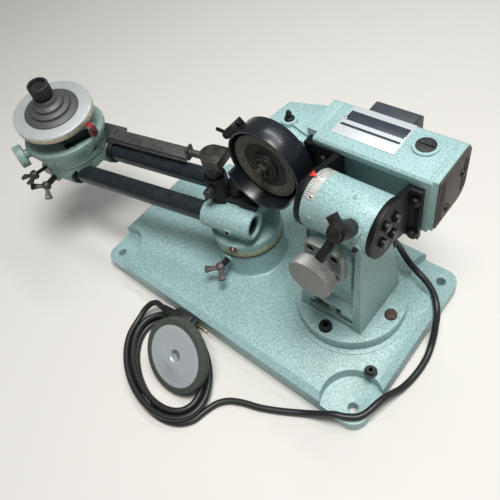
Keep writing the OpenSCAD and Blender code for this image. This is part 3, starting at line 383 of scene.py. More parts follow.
def soften(bm, width, segments=2, least=SHARP_FROM):
    """Bevels the edges that turn by more than an angle in degrees."""
    limit = math.radians(least)
    edges = [e for e in bm.edges if len(e.link_faces) == 2 and e.calc_face_angle(0) > limit]
    bmesh.ops.bevel(bm, geom=edges, offset=width, offset_type="OFFSET", segments=segments, profile=0.5,
                    affect="EDGES", clamp_overlap=True, material=-1)
    return bm


def turned(outline, steps=72):
    """Body of revolution about Z through (radius, height) points."""
    bm = bmesh.new()
    verts = [bm.verts.new((r, 0, z)) for r, z in outline]
    edges = [bm.edges.new(pair) for pair in zip(verts, verts[1:])]
    bmesh.ops.spin(bm, geom=verts + edges, axis=(0, 0, 1), cent=(0, 0, 0), angle=2 * math.pi, steps=steps,
                   use_merge=True)
    bmesh.ops.remove_doubles(bm, verts=bm.verts, dist=1e-4)
    bmesh.ops.recalc_face_normals(bm, faces=bm.faces)
    return bm


def ring(inner, outer, low, high, steps, cut=0, drop=0):
    """Ring about Z. Its upper outer edge may be cut by a width and a drop."""
    corner = [(outer, high - drop), (outer - cut, high)] if cut else [(outer, high)]
    return turned([(inner, low), (outer, low), *corner, (inner, high), (inner, low)], steps)


def knurled(outline, teeth, depth, low, high, least):
    """Body of revolution whose faces outside a radius, between two heights, carry straight teeth."""
    bm = turned(outline, 2 * teeth)
    for v in bm.verts:
        radius = math.hypot(v.co.x, v.co.y)
        step = round(math.atan2(v.co.y, v.co.x) / math.pi * teeth)
        if radius > least and low <= v.co.z <= high and step % 2:
            share = (radius - depth) / radius
            v.co.x *= share
            v.co.y *= share
    return bm


def rod(radius, length, steps=32, chamfer=0.4):
    """Rod standing on Z 0."""
    bm = bmesh.new()
    bmesh.ops.create_cone(bm, cap_ends=True, segments=steps, radius1=radius, radius2=radius, depth=length)
    bmesh.ops.translate(bm, verts=bm.verts, vec=(0, 0, length / 2))
    return soften(bm, chamfer, least=RIM_ONLY) if chamfer else bm


def block(x, y, z, chamfer=0.5, segments=2):
    """Block about the origin with soft edges."""
    bm = bmesh.new()
    bmesh.ops.create_cube(bm, size=1)
    bmesh.ops.scale(bm, verts=bm.verts, vec=(x, y, z))
    return soften(bm, chamfer, segments)


def plate(outline, thick, chamfer, segments=2):
    """Flat outline in X and Y, thickened along Z."""
    bm = bmesh.new()
    face = bm.faces.new([bm.verts.new((x, y, 0)) for x, y in outline])
    up = bmesh.ops.extrude_face_region(bm, geom=[face])["geom"]
    bmesh.ops.translate(bm, verts=[v for v in up if isinstance(v, bmesh.types.BMVert)], vec=(0, 0, thick))
    bmesh.ops.recalc_face_normals(bm, faces=bm.faces)
    return soften(bm, chamfer, segments)


def rounded_plate(x, y, thick, corner, chamfer=0.3):
    """Plate standing on Z 0 with round corners."""
    bm = bmesh.new()
    bmesh.ops.create_cube(bm, size=1)
    bmesh.ops.scale(bm, verts=bm.verts, vec=(x, y, thick))
    bmesh.ops.translate(bm, verts=bm.verts, vec=(0, 0, thick / 2))
    upright = [e for e in bm.edges if abs(e.verts[0].co.z - e.verts[1].co.z) > thick / 2]
    bmesh.ops.bevel(bm, geom=upright, offset=corner, offset_type="OFFSET", segments=8, profile=0.5,
                    affect="EDGES", material=-1)
    return soften(bm, chamfer, least=RIM_ONLY)


def rounded_outline(x0, x1, y0, y1, radii, steps=8):
    """Rectangle with a radius of its own at each corner, from the low corner onwards."""
    points = []
    corners = ((x0, y0, 1, 1), (x1, y0, -1, 1), (x1, y1, -1, -1), (x0, y1, 1, -1))
    for i, ((x, y, side_x, side_y), r) in enumerate(zip(corners, radii)):
        for k in range(steps + 1):
            a = math.radians(180 + 90 * (i + k / steps))
            points.append((x + side_x * r + r * math.cos(a), y + side_y * r + r * math.sin(a)))
    return points


def band(inner, outer, x0, x1, start, sweep, steps=40):
    """Strip bent about X, from a start angle in degrees that is 0 at the top."""
    bm = bmesh.new()
    verts = [bm.verts.new(co) for co in ((x0, 0, inner), (x1, 0, inner), (x1, 0, outer), (x0, 0, outer))]
    face = bm.faces.new(verts)
    bmesh.ops.rotate(bm, verts=verts, cent=(0, 0, 0), matrix=turn(start, "X").to_3x3())
    bmesh.ops.spin(bm, geom=[face, *face.edges, *verts], axis=(1, 0, 0), cent=(0, 0, 0),
                   angle=math.radians(sweep), steps=steps)
    bmesh.ops.recalc_face_normals(bm, faces=bm.faces)
    return bm


def new_loop(extruded):
    """The vertices that an extrusion of edges has made, and the edges between them."""
    verts = [v for v in extruded if isinstance(v, bmesh.types.BMVert)]
    edges = [e for e in extruded if isinstance(e, bmesh.types.BMEdge) and all(v in verts for v in e.verts)]
    return verts, edges


def socket_screw(radius, height, steps=32):
    """Cylinder head standing on Z 0 with a six-sided recess."""
    hex_r, floor_z, rim = radius * 0.5, height * 0.45, 0.5
    bm = bmesh.new()
    bmesh.ops.create_circle(bm, cap_ends=True, segments=6, radius=hex_r)
    bmesh.ops.translate(bm, verts=bm.verts, vec=(0, 0, floor_z))
    wall = bmesh.ops.extrude_edge_only(bm, edges=bm.edges[:])["geom"]
    lip, lip_edges = new_loop(wall)
    bmesh.ops.translate(bm, verts=lip, vec=(0, 0, height - floor_z))
    loop = bmesh.ops.create_circle(bm, cap_ends=False, segments=steps, radius=radius - rim)["verts"]
    bmesh.ops.translate(bm, verts=loop, vec=(0, 0, height))
    loop_edges = list({e for v in loop for e in v.link_edges})
    bmesh.ops.bridge_loops(bm, edges=lip_edges + loop_edges)
    for z in (height - rim, 0.0):
        side = bmesh.ops.extrude_edge_only(bm, edges=loop_edges)["geom"]
        loop, loop_edges = new_loop(side)
        for v in loop:
            flat = Vector((v.co.x, v.co.y)).normalized() * radius
            v.co = (flat.x, flat.y, z)
    bmesh.ops.contextual_create(bm, geom=loop_edges)
    bmesh.ops.recalc_face_normals(bm, faces=bm.faces)
    return bm


def dome(radius, height):
    """Round screw head standing on Z 0."""
    return turned([(0, 0), (radius, 0), (radius, height * 0.25), (radius * 0.92, height * 0.62),
                   (radius * 0.66, height * 0.9), (radius * 0.34, height), (0, height)], 32)


def thread(radius, low, high, pitch=1.25, depth=0.5):
    """Outline of a threaded stud as rings, from low to high."""
    count = int((high - low) / pitch)
    points = [(0, low)]
    for i in range(count):
        z = low + i * pitch
        points += [(radius - depth, z), (radius, z + pitch * 0.5)]
    return points + [(radius - depth, low + count * pitch), (0, low + count * pitch)]


# Pieces
def settle(name, bm, body, finish, stands_for=()):
    """Makes the bmesh, in metres in the part's frame, a piece that rides on a body."""
    mesh = bpy.data.meshes.new(name)
    bm.to_mesh(mesh)
    bm.free()
    mesh.polygons.foreach_set("use_smooth", [True] * len(mesh.polygons))
    mesh.set_sharp_from_angle(angle=math.radians(SMOOTH_BELOW))
    mesh.materials.append(finish)
    piece = bpy.data.objects.new(name, mesh)
    bpy.context.scene.collection.objects.link(piece)
    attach(piece, body)
    if stands_for:
        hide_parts(*stands_for)
    return piece


def gather(shapes):
    """Joins (bmesh, place) pairs in one bmesh, in metres."""
    whole = bmesh.new()
    for bm, place in shapes:
        bmesh.ops.transform(bm, matrix=Matrix.Scale(MM, 4) @ place, verts=bm.verts)
        mesh = bpy.data.meshes.new("part")
        bm.to_mesh(mesh)
        bm.free()
        whole.from_mesh(mesh)
        bpy.data.meshes.remove(mesh)
    return whole


def piece(name, shapes, body, finish, slot, stands_for=()):
    """One piece from (bmesh, place) pairs in millimetres."""
    return settle(name, gather(shapes), body, finish, stands_for)


def cast(node, finish, edge):
    """A CAD node's own shape with rounded edges."""
    bm = bmesh.new()
    bm.from_mesh(CAD[node].data)
    bmesh.ops.remove_doubles(bm, verts=bm.verts, dist=2e-6)
    bmesh.ops.dissolve_limit(bm, angle_limit=math.radians(0.3), verts=bm.verts, edges=bm.edges)
    soften(bm, edge * MM)
    return settle(node + "_cast", bm, BODY_OF[node], finish, [node])


def keep(node, finish):
    """A CAD node that stays as it is, with a finish of its own."""
    CAD[node].data.materials.clear()
    CAD[node].data.materials.append(finish)


# Mains cord, with the route of the CAD source
ROUTE = [(137, 59.2, 84), (137, 66, 83.6), (138, 73, 78.5), (141, 77, 68), (147, 77.5, 57), (156, 76, 48),
         (166, 74.5, 41.5), (176, 72, 38.2), (185, 67, 38), (193, 61, 38), (201, 52, 38), (207.5, 43, 33.5),
         (211.5, 34, 24), (214.5, 26, 14), (217, 16, 6.8), (219, 4, 4.2), (219.5, -12, 3.9), (218, -28, 4.2),
         (215.5, -42, 7), (212, -54, 13), (208.5, -66, 19), (206, -77, 21.2), (203, -89, 21),
         (197.5, -99, 21), (187, -106, 21), (176, -111, 20.6), (166, -115.5, 14.5), (156, -119.5, 8.5),
         (145, -125, 4.8),
         (124, -137, 3.9), (104, -147, 3.9), (86, -153.5, 3.9), (71, -161.5, 3.9), (61.5, -172.5, 3.9)]
COIL_TAIL = [(-91.5, -146, 13.2), (-91.5, -136, 16.4), (-87.5, -127.5, 20.2), (-80, -123.6, 23.6),
             (-71, -124, 25.2), (-64, -124, 25.4)]
COIL_X, COIL_Y, COIL_A, COIL_B, COIL_LEAN = -17, -169.5, 77, 50, math.radians(-24)
COIL_START, COIL_TURNS, COIL_STEP, COIL_POINTS = 15, 3.486, 8.6, 82
COIL_LOW, COIL_RISE, COIL_RAMP = 3.9, 8, 0.5
CORD_STEPS = 4


def coil_point(s):
    """Point of the oval coil after s turns: inwards on the floor, then up and out on top of itself."""
    inward = COIL_STEP * min(s, COIL_TURNS - s)
    a = math.radians(COIL_START - 360 * s)
    x, y = (COIL_A - inward) * math.cos(a), (COIL_B - inward) * math.sin(a)
    t = max(0.0, min(1.0, (s - COIL_TURNS / 2 + COIL_RAMP / 2) / COIL_RAMP))
    return (COIL_X + x * math.cos(COIL_LEAN) - y * math.sin(COIL_LEAN),
            COIL_Y + x * math.sin(COIL_LEAN) + y * math.cos(COIL_LEAN),
            COIL_LOW + COIL_RISE * t * t * (3 - 2 * t))


def smooth_line(points, steps):
    """Catmull-Rom curve through points."""
    points = [Vector(p) for p in points]
    line = []
    for i in range(len(points) - 1):
        a, b, c, d = (points[max(0, min(len(points) - 1, k))] for k in range(i - 1, i + 3))
        for k in range(steps):
            t = k / steps
            line.append(0.5 * (2 * b + (c - a) * t + (2 * a - 5 * b + 4 * c - d) * t * t
                               + (3 * b - a - 3 * c + d) * t ** 3))
    return line + [points[-1]]


def tube_mesh(name, line, radius, resolution=4):
    """Round tube along points in metres, as a mesh."""
    curve = bpy.data.curves.new(name, "CURVE")
    curve.dimensions = "3D"
    curve.bevel_depth = radius
    curve.bevel_resolution = resolution
    curve.use_fill_caps = True
    spline = curve.splines.new("POLY")
    spline.points.add(len(line) - 1)
    for point, place in zip(spline.points, line):
        point.co = (*place, 1)
    guide = bpy.data.objects.new(name + "_guide", curve)
    bpy.context.scene.collection.objects.link(guide)
    bpy.context.view_layer.update()
    mesh = bpy.data.meshes.new_from_object(guide.evaluated_get(bpy.context.evaluated_depsgraph_get()))
    bpy.data.objects.remove(guide)
    mesh.name = name
    mesh.materials.clear()
    return mesh


coil_loops = [coil_point(COIL_TURNS * i / COIL_POINTS) for i in range(COIL_POINTS + 1)]
cord_line = [p * MM for p in smooth_line(ROUTE + coil_loops + COIL_TAIL, CORD_STEPS)]
cord_mesh = tube_mesh("mains_cord", cord_line, CORD_R * MM)
cord_mesh.materials.append(rubber)
cord_mesh.polygons.foreach_set("use_smooth", [True] * len(cord_mesh.polygons))
cord = bpy.data.objects.new("mains_cord", cord_mesh)
bpy.context.scene.collection.objects.link(cord)
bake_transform(cord)
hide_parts("cord_run", "cord_coil")

# Plug: ribbed neck that widens towards the grip, grip of four soft blocks, two flat blades
RIBS, RIB_PITCH = 5, 3.4
NECK_BACK, NECK_END = -9.5, 21.5
neck_outline = [(0, 0), (4.2, 0)]
for i in range(RIBS):
    rib_r, rib_z = 4.6 + 0.36 * i, 0.5 + RIB_PITCH * i
    neck_outline += [(rib_r, rib_z), (rib_r + 0.1, rib_z + 2.1), (rib_r - 0.5, rib_z + 2.4),
                     (rib_r - 0.4, rib_z + 3.1)]
neck_outline += [(6.4, 18), (6.4, NECK_END), (0, NECK_END)]
neck = piece("plug_neck", [(turned(neck_outline, 32), PLUG @ move(0, 0, NECK_BACK))],
             "base", black_plastic, "black_plastic")
SHOULDER_AT, GRIP_AT, FACE_AT, RIDGE_X = 13, 25, 40.9, -9.4
grip = block(19.2, 22, 26, chamfer=3.2, segments=4)
shoulder = block(15.6, 18, 9, chamfer=2.4, segments=3)
face = block(17.2, 20, 6.2, chamfer=1.2)
ridge = block(1.2, 12, 14)
plug = piece("plug_grip", [(grip, PLUG @ move(0, 0, GRIP_AT)), (shoulder, PLUG @ move(0, 0, SHOULDER_AT)),
                           (face, PLUG @ move(0, 0, FACE_AT)), (ridge, PLUG @ move(RIDGE_X, 0, GRIP_AT))],
             "base", black_plastic, "black_plastic", ["plug_body"])
BLADE_AT, BLADE_T, BLADE_APART = 30, 1.5, 12.7
half_blade = [(3.15, 12), (3.15, 28), (2.2, 30.4), (0.9, 31)]
blade_outline = half_blade + [(-x, y) for x, y in reversed(half_blade)]
blades = piece("plug_blades", [
    (plate(blade_outline, BLADE_T, chamfer=0.25),
     PLUG @ move(0, side * BLADE_APART / 2, BLADE_AT) @ turn(90, "X") @ move(0, 0, -BLADE_T / 2))
    for side in (-1, 1)], "base", blade_brass, "brass", ["plug_pins"])

# Ribbed sleeve that tapers from the column's rear wall
SLEEVE = COLUMN @ move(13.5, 41, 50) @ turn(-90, "X")
sleeve_outline = [(0, 0), (9, 0), (9, 2.4), (8.4, 3), (6.6, 3)]
for i in range(RIBS):
    rib_r, groove_r, rib_z = 6.6 - 0.28 * i, 5.6 - 0.25 * i, 3.4 + RIB_PITCH * i
    sleeve_outline += [(rib_r, rib_z), (rib_r, rib_z + 1.8), (groove_r, rib_z + 2.2), (groove_r, rib_z + 3.2)]
sleeve_outline += [(4.9, 20.8), (3.9, 21.6), (0, 21.6)]
piece("cord_sleeve", [(turned(sleeve_outline, 36), SLEEVE)], "column", black_plastic, "black_plastic",
      ["cord_gland"])

# Camera of the photograph
CAMERA_RIGHT = (0.75484, 0.62891, -0.18626)
CAMERA_UP = (-0.42390, 0.68446, 0.59315)
CAMERA_BACK = (0.50053, -0.36878, 0.78325)
camera = bpy.data.objects.new("camera", bpy.data.cameras.new("camera"))
camera.data.sensor_width = 36
camera.data.lens = 37.124
camera.data.clip_start = 0.01
camera.matrix_world = Matrix((CAMERA_RIGHT, CAMERA_UP, CAMERA_BACK)).transposed().to_4x4()
camera.location = (0.30501, -0.24356, 0.54919)
bpy.context.scene.collection.objects.link(camera)
bpy.context.scene.camera = camera

# The darker green copy on the column foot, carriage, table and yoke is painted shade
# CAD nodes with rounded edges: node, finish, edge
for node, finish, edge in (
        ("base_casting", paint, 1.0), ("arm_pedestal", paint, 0.8), ("turntable_disc", paint, 0.8),
        ("column_casting", paint, 0.8), ("column_foot", paint_in_painted_shade, 0.5), ("feed_flange", flange_metal, 0.5),
        ("motor_housing", paint, 1.0), ("end_cover", paint, 0.8), ("gear_housing", paint, 0.8),
        ("arm_head", paint, 0.8), ("carriage_casting", paint_in_painted_shade, 0.8), ("swivel_table", paint_in_painted_shade, 0.7),
        ("tilt_yoke", paint_in_painted_shade, 0.7), ("left_bracket", satin_black, 0.4),
        ("right_bracket", satin_black, 0.4), ("wheel_guard", gloss_black, 0.5),
        ("bracket_bolts", black_screw, 0.5), ("flange_screws", black_screw, 0.2),
        ("pivot_bolt", dark_screw, 0.4), ("clamp_lever", dark_screw, 0.5), ("guard_stud", black_screw, 0.3),
        ("guard_bracket", satin_black, 0.4), ("arm_rails", rail_black, 0.5), ("stop_plate", satin_black, 0.5),
        ("post_screw", dark_screw, 0.4), ("rest_post", post_steel, 0.5), ("cap_screw", post_steel, 0.4),
        ("rail_wipers", black_plastic, 0.8), ("guide_bar", bar_steel, 0.4),
        ("switch_box", switch_plastic, 0.6), ("switch_rocker", dark_red, 0.4),
        ("brush_caps", black_plastic, 0.4), ("hinge_pin", bright_steel, 0.4),
        ("hinge_spacer", ivory_plastic, 0.4)):
    cast(node, finish, edge)
for node, finish in (("pivot_shaft", bright_steel), ("stator", winding), ("armature", winding),
                     ("bearings", bright_steel), ("spindle", nut_steel), ("feed_screw", bright_steel)):
    keep(node, finish)

# Blade holder: index disc with a groove for its scale, stepped cone on an arbor
INDEX_TOP, BAND_R, ARBOR_R = 43.3, INDEX_R - 0.7, 8
index_outline = [(10, 30.5), (10, 33.6), (INDEX_R - 1, 33.6), (INDEX_R - 1, 34.4), (BAND_R, 34.4),
                 (BAND_R, 40.6), (INDEX_R, 40.6), (INDEX_R, 42.5), (INDEX_R - 0.3, 43),
                 (INDEX_R - 1, INDEX_TOP), (ARBOR_R, INDEX_TOP)]
piece("index_plate", [(turned(index_outline, 128), HOLDER)], "index", disc_metal, "aluminium", ["index_disc"])
scale_outline = [(BAND_R - 0.4, 34.5), (BAND_R + 0.4, 34.5), (BAND_R + 0.5, 34.8), (BAND_R + 0.5, 40.3),
                 (BAND_R - 0.4, 40.5)]
piece("index_rim_scale", [(turned(scale_outline, 128), HOLDER)], "index", disc_marks, "aluminium")
cone_outline = [(ARBOR_R, 43.2), (34, 43.2), (34, 44.6), (33.4, 45.2),
                (26.6, 47.4), (26.2, 46.8), (25.6, 46.8), (25.4, 49.9), (24.6, 50.6),
                (19.8, 52.2), (19.4, 51.6), (18.8, 51.6), (18.6, 55), (18, 55.6),
                (13.6, 57.6), (13, 59), (12.5, 62.6), (11.8, 63.3), (ARBOR_R, 63.3)]
piece("stepped_cone", [(turned(cone_outline, 96), HOLDER)], "index", cone_metal, "dull_steel")
piece("arbor", [(turned([(ARBOR_R, 62), (ARBOR_R, 73)], 40), HOLDER)], "index", bright_steel, "steel")

# Clamp knob: flared foot, knurl below a groove, hollow top
CLAMP_KNOB = HOLDER @ move(0, 0, 63.6)
clamp_outline = [(0, 10.4), (ARBOR_R + 0.05, 10.4), (ARBOR_R + 0.05, 0), (9.4, 0), (10.1, 0.6), (11, 3.2),
                 (12.2, 4.6), (CLAMP_KNOB_R, 5.4), (CLAMP_KNOB_R, 15.6), (12.1, 15.9), (12.1, 16.6),
                 (CLAMP_KNOB_R, 17), (CLAMP_KNOB_R, 18.3), (11.9, 19), (9.8, 19), (9.2, 18.2), (9, 15.5),
                 (0, 15.5)]
clamp_knob = knurled(clamp_outline, teeth=52, depth=0.5, low=3, high=15.7, least=10.4)
piece("knurled_clamp_knob", [(clamp_knob, CLAMP_KNOB)],
      "clamp", black_plastic, "black_plastic", ["clamp_knob"])

# Red pointer at the index disc, with its screw
POINTER = HOLDER @ turn(213, "Z")
POINTER_R, POINTER_T = 53.6, 2.8
POINTER_SCREW = POINTER @ move(POINTER_R + POINTER_T - 0.1, 0, 26) @ turn(90, "Y")
pointer_plate = rounded_plate(17, 10.6, POINTER_T, corner=4, chamfer=0.6)
pointer_nose = block(10, 8.6, 3.9, chamfer=0.6)
piece("index_pointer", [(pointer_plate, POINTER @ move(POINTER_R, 0, 25) @ turn(90, "Y")),
                        (pointer_nose, POINTER @ move(POINTER_R - 3.1, 0, 31.65))],
      "yoke", dark_red, "red_paint")
piece("index_pointer_screw", [(dome(3.2, 2.6), POINTER_SCREW), (rod(2, 5), POINTER_SCREW)],
      "yoke", dark_screw, "black_steel")

# Swivel table: scale round its edge, red pointer on the carriage
TABLE_POINTER = CARRIAGE @ turn(80, "Z") @ move(TABLE_R - 2.2, 0, 99.5) @ turn(90, "Y")
piece("table_scale", [(ring(TABLE_R - 1, TABLE_R + 0.12, low=104.1, high=107, steps=120), TABLE)],
      "table", table_marks, "green_paint")
piece("table_pointer", [(rounded_plate(7, 6, 2, corner=1.2), TABLE_POINTER)],
      "carriage", dark_red, "red_paint")

# Wing bolts: two paddles in a V that widen to flat ends
PADDLE_T, PADDLE_LEAN, PADDLE_RISE = 3.6, 43, 3
PADDLE_EDGE = [(2, -3), (8, -2.6), (13, -3.4), (18, -4.9), (19.2, -4)]
PADDLE = PADDLE_EDGE + [(19.6, 0)] + [(x, -y) for x, y in reversed(PADDLE_EDGE)]


def wing_bolt(name, node, body, place, start, hub, lean, radius, finish):
    """Threaded stud from start to the hub along a frame's own Z, and the wings beyond."""
    stud_outline = thread(radius, start, hub + 1)
    piece(name + "_stud", [(turned(stud_outline, 24), place)], body, black_screw, "black_steel")
    hub_outline = [(0, hub - 0.6), (4.8, hub - 0.6), (6.2, hub + 1.2), (6.2, hub + 4.6), (5, hub + 7),
                   (3.6, hub + 7.5), (0, hub + 7.5)]
    shapes = [(turned(hub_outline, 36), place)]
    wings = place @ turn(lean, "Z") @ turn(90, "X") @ move(0, hub + PADDLE_RISE, -PADDLE_T / 2)
    for angle in (PADDLE_LEAN, 180 - PADDLE_LEAN):
        shapes.append((plate(PADDLE, PADDLE_T, chamfer=1, segments=3), wings @ turn(angle, "Z")))
    piece(name, shapes, body, finish, "black_steel", [node])


wing_bolt("pedestal_wing_bolt", "pedestal_wing", "arm_lock", PEDESTAL @ move(0, 0, 26) @ turn(90, "X"),
          start=14, hub=54, lean=0, radius=4, finish=wing_steel)
wing_bolt("rail_wing_bolt", "rail_wing", "rail_lock", CARRIAGE @ move(8, 0, 84) @ turn(-90, "X"),
          start=36.3, hub=58, lean=-32, radius=4, finish=dark_wing)
wing_bolt("table_wing_bolt", "table_wing", "table_lock",
          CARRIAGE @ turn(72, "Z") @ move(0, 0, 100) @ turn(90, "Y"),
          start=14.6, hub=60, lean=102, radius=2.6, finish=dark_wing)

# Feed knob with straight knurl and its set screw
FEED_KNOB = COLUMN @ move(FEED_X, -39.3, FEED_Z) @ turn(90, "X")
KNOB_HUB_R, KNOB_BACK, KNOB_FRONT = 11, 9.2, 23.2
feed_outline = [(0, 0), (KNOB_HUB_R, 0), (KNOB_HUB_R, KNOB_BACK), (FEED_KNOB_R - 1.4, KNOB_BACK),
                (FEED_KNOB_R - 0.6, 9.6), (FEED_KNOB_R, 10.6), (FEED_KNOB_R, 21.6), (FEED_KNOB_R - 0.4, 22.6),
                (FEED_KNOB_R - 1.2, KNOB_FRONT), (0, KNOB_FRONT)]
feed_knob = knurled(feed_outline, teeth=60, depth=1.0, low=9.8, high=22.4, least=FEED_KNOB_R - 0.8)
piece("knurled_feed_knob", [(feed_knob, FEED_KNOB)],
      "feed", knob_aluminium, "aluminium", ["feed_knob"])
piece("feed_set_screw", [(socket_screw(2.7, 2.4, steps=24), COLUMN @ move(FEED_X, -44.2, FEED_Z + 9.6))],
      "feed", black_screw, "black_steel")

# Grinding wheel: abrasive ring on a thin web, flanged nut in front
WEB_R, NUT_BORE_R = 26.6, SPINDLE_R + 0.06
abrasive_outline = [(WEB_R, 2.2), (28, 1.4), (30, 0.6), (31.6, 0), (WHEEL_R - 0.6, 0), (WHEEL_R, 0.6),
                    (WHEEL_R, 9), (30, WHEEL_T), (27, WHEEL_T), (WEB_R, 2.2)]
piece("abrasive_ring", [(turned(abrasive_outline, 96), WHEEL)], "spindle_set", wheel_grit, "abrasive",
      ["grinding_wheel"])
web_outline = [(SPINDLE_R + 0.05, WHEEL_T), (SPINDLE_R + 0.05, 3), (16, 3), (19, 2.8), (WEB_R + 0.1, 2.3),
               (WEB_R + 0.1, WHEEL_T - 0.1), (SPINDLE_R + 0.05, WHEEL_T)]
piece("wheel_web", [(turned(web_outline, 96), WHEEL)], "spindle_set", wheel_web, "abrasive")
flange_outline = [(NUT_BORE_R, 0), (15.4, 0), (15.4, 2), (14.8, 2.9), (14, 3.2), (12.9, 2.8), (12.2, 3.2),
                  (11.8, 4.6), (11.2, 5), (NUT_BORE_R, 5)]
nut_hexagon = soften(rod(8.8, 5.4, steps=6, chamfer=0), 0.5, least=30)
piece("wheel_flange_nut", [(turned(flange_outline, 64), NUT), (nut_hexagon, NUT @ move(0, 0, 4.6))],
      "spindle_set", nut_steel, "black_steel", ["wheel_nut"])


# Barrel: bent scale plate with rivets, small screws, red arrow of the head
def on_barrel(x, angle, height):
    """Place on the barrel, at an angle from its top and a height over its skin."""
    return BARREL @ move(x, 0, 0) @ turn(angle, "X") @ move(0, 0, BARREL_R + height)


scale_strip = band(BARREL_R - 0.1, BARREL_R + 0.6, x0=-24, x1=-13.4, start=-42, sweep=87)
piece("barrel_scale", [(scale_strip, BARREL)], "column", barrel_marks, "aluminium")
piece("barrel_rivets", [(dome(1.5, 0.9), on_barrel(-17, angle, 0.5)) for angle in (-37, 39)],
      "column", bright_steel, "steel")
piece("barrel_screws", [(dome(2.4, 1.4), on_barrel(-14.5, 80, -0.2)),
                        (dome(2.0, 1.0), on_barrel(18, 8, -0.2))], "column", paint_in_painted_shade, "green_paint")
LOCK_SCREW = COLUMN @ move(33, -36.2, 164) @ turn(90, "X")
piece("barrel_lock_screw", [(socket_screw(2.5, 2.4, steps=24), LOCK_SCREW)],
      "column", black_screw, "black_steel")
arrow_head = plate([(-27.8, 2.9), (-26.9, -4.2), (-21.2, -1.1)], 1.3, chamfer=0.25)
arrow_foot = block(2.2, 5.6, 2.2, chamfer=0.4)
piece("tilt_arrow", [(arrow_head, BARREL @ move(0, 0, BARREL_R + 1.7)),
                     (arrow_foot, BARREL @ move(-26.8, -0.6, BARREL_R + 1.1))],
      BODY_OF["tilt_pointer"], red_enamel, "red_paint", ["tilt_pointer"])

# Swivel of the arm: red mark with its screw, graduated band on a brown seat
ARM_MARK = ARM @ turn(97.4, "Z")
PIVOT_CLEAR_R, BAND_LOW, BAND_TOP = 6.2, 38, 45.65
piece("arm_mark", [(rounded_plate(8, 9, 1.3, corner=1.2), ARM_MARK @ move(41.6, 0, 51.4) @ turn(90, "Y"))],
      BODY_OF["arm_pointer"], dark_red, "red_paint", ["arm_pointer"])
piece("arm_mark_screw", [(dome(1.7, 1), ARM_MARK @ move(42.8, 0, 52.4) @ turn(90, "Y"))],
      BODY_OF["arm_pointer"], bright_steel, "steel")
swivel_band = ring(PIVOT_CLEAR_R, 42.2, low=BAND_LOW, high=BAND_TOP, steps=128, cut=0.3, drop=0.25)
piece("swivel_band", [(swivel_band, PEDESTAL)],
      BODY_OF["swivel_scale"], swivel_marks, "aluminium", ["swivel_scale"])
band_seat = ring(38, 42.6, low=36, high=BAND_LOW + 0.3, steps=96, cut=0.3, drop=0.4)
piece("swivel_band_seat", [(band_seat, PEDESTAL)],
      BODY_OF["swivel_scale"], band_brown, "brass")

# Motor: bare plate with dark fields and rivets on top
PLATE = COLUMN @ move(-13.5, 67, 195)
PLATE_T, FIELD_L, FIELD_T, FIELD_Z = 0.6, 61, 0.16, 0.55
piece("bare_plate", [(rounded_plate(65, 41, PLATE_T, corner=1.2, chamfer=0.15), PLATE)],
      "head", plate_silver, "aluminium")
piece("plate_field", [(rounded_plate(FIELD_L, wide, FIELD_T, corner=0.6, chamfer=0.05),
                       PLATE @ move(0, y, FIELD_Z)) for wide, y in ((13, 6.5), (3, -6.5))],
      "head", plate_black, "black_paint")
piece("plate_rivets", [(dome(1.5, 0.9), PLATE @ move(x, 2, 0.5)) for x in (-30.5, 30.5)],
      "head", bright_steel, "steel")

# Motor: dark end panel with upright ribs at both sides and two screws; X of its frame points down
PANEL = COLUMN @ move(66.2, 0, 0) @ turn(90, "Y")
PANEL_T, RIB_MIDDLE, RIB_W, RIB_H = 1.8, -165.5, 1.5, 1.6
panel_outline = rounded_outline(-193.6, -135.4, 35.8, 91.2, radii=(3, 3, 14, 8))
panel = [(plate(panel_outline, PANEL_T, chamfer=0.5), PANEL)]
for y, tall in ((39.4, 50), (42.4, 50), (45.4, 50), (81.8, 40), (84.8, 36), (87.6, 30)):
    panel.append((block(tall, RIB_W, RIB_H, chamfer=0.4), PANEL @ move(RIB_MIDDLE, y, PANEL_T)))
piece("end_panel", panel, "head", panel_plastic, "black_plastic")
piece("end_panel_screws", [(dome(4, 2.4), COLUMN @ move(67.9, y, z) @ turn(90, "Y"))
                           for y, z in ((79.7, 168.4), (54.8, 146.9))], "head", black_screw, "black_steel")

# Round cover over the rear bearing of the gear case, with its screws
COVER = COLUMN @ move(SPINDLE_X, 84.8, SPINDLE_Z) @ turn(-90, "X")
COVER_R, COVER_BORE_R, COVER_BACK = 17.2, 10, -8
cover_outline = [(COVER_BORE_R, COVER_BACK), (COVER_R, COVER_BACK), (COVER_R, 1), (COVER_R - 0.6, 1.6),
                 (11.4, 1.6), (10.6, 2.6), (9.8, 2.8), (0, 2.8), (0, 0), (COVER_BORE_R, 0),
                 (COVER_BORE_R, COVER_BACK)]
piece("rear_bearing_cover", [(turned(cover_outline, 64), COVER)], "head", paint, "green_paint")
piece("rear_cover_screws", [(dome(2.2, 1.5), COVER @ turn(angle, "Z") @ move(14, 0, 1.5))
                            for angle in (30, 150, 270)], "head", black_screw, "black_steel")

# Base and turntable screws
BASE_SCREW = move(185.9, -54.9, BASE_H)
WASHER_T = 1.3
washer = ring(3, 7, low=0, high=WASHER_T, steps=36, cut=0.4, drop=0.3)
piece("base_screw", [(washer, BASE_SCREW), (socket_screw(4.8, 4.6), BASE_SCREW @ move(0, 0, WASHER_T - 0.1))],
      "base", dark_screw, "black_steel")
piece("turntable_socket_bolts", [(socket_screw(6.6, 11.5), COLUMN @ move(0, y, 10))
                                 for y in (-TURNTABLE_BOLT_R, TURNTABLE_BOLT_R)],
      "base", black_screw, "black_steel", ["turntable_bolts"])
piece("turntable_dome_bolts", [(dome(6.8, 4.8), COLUMN @ move(x, 0, TURNTABLE_TOP))
                               for x in (-TURNTABLE_BOLT_R, TURNTABLE_BOLT_R)], "base", rusty, "black_steel")

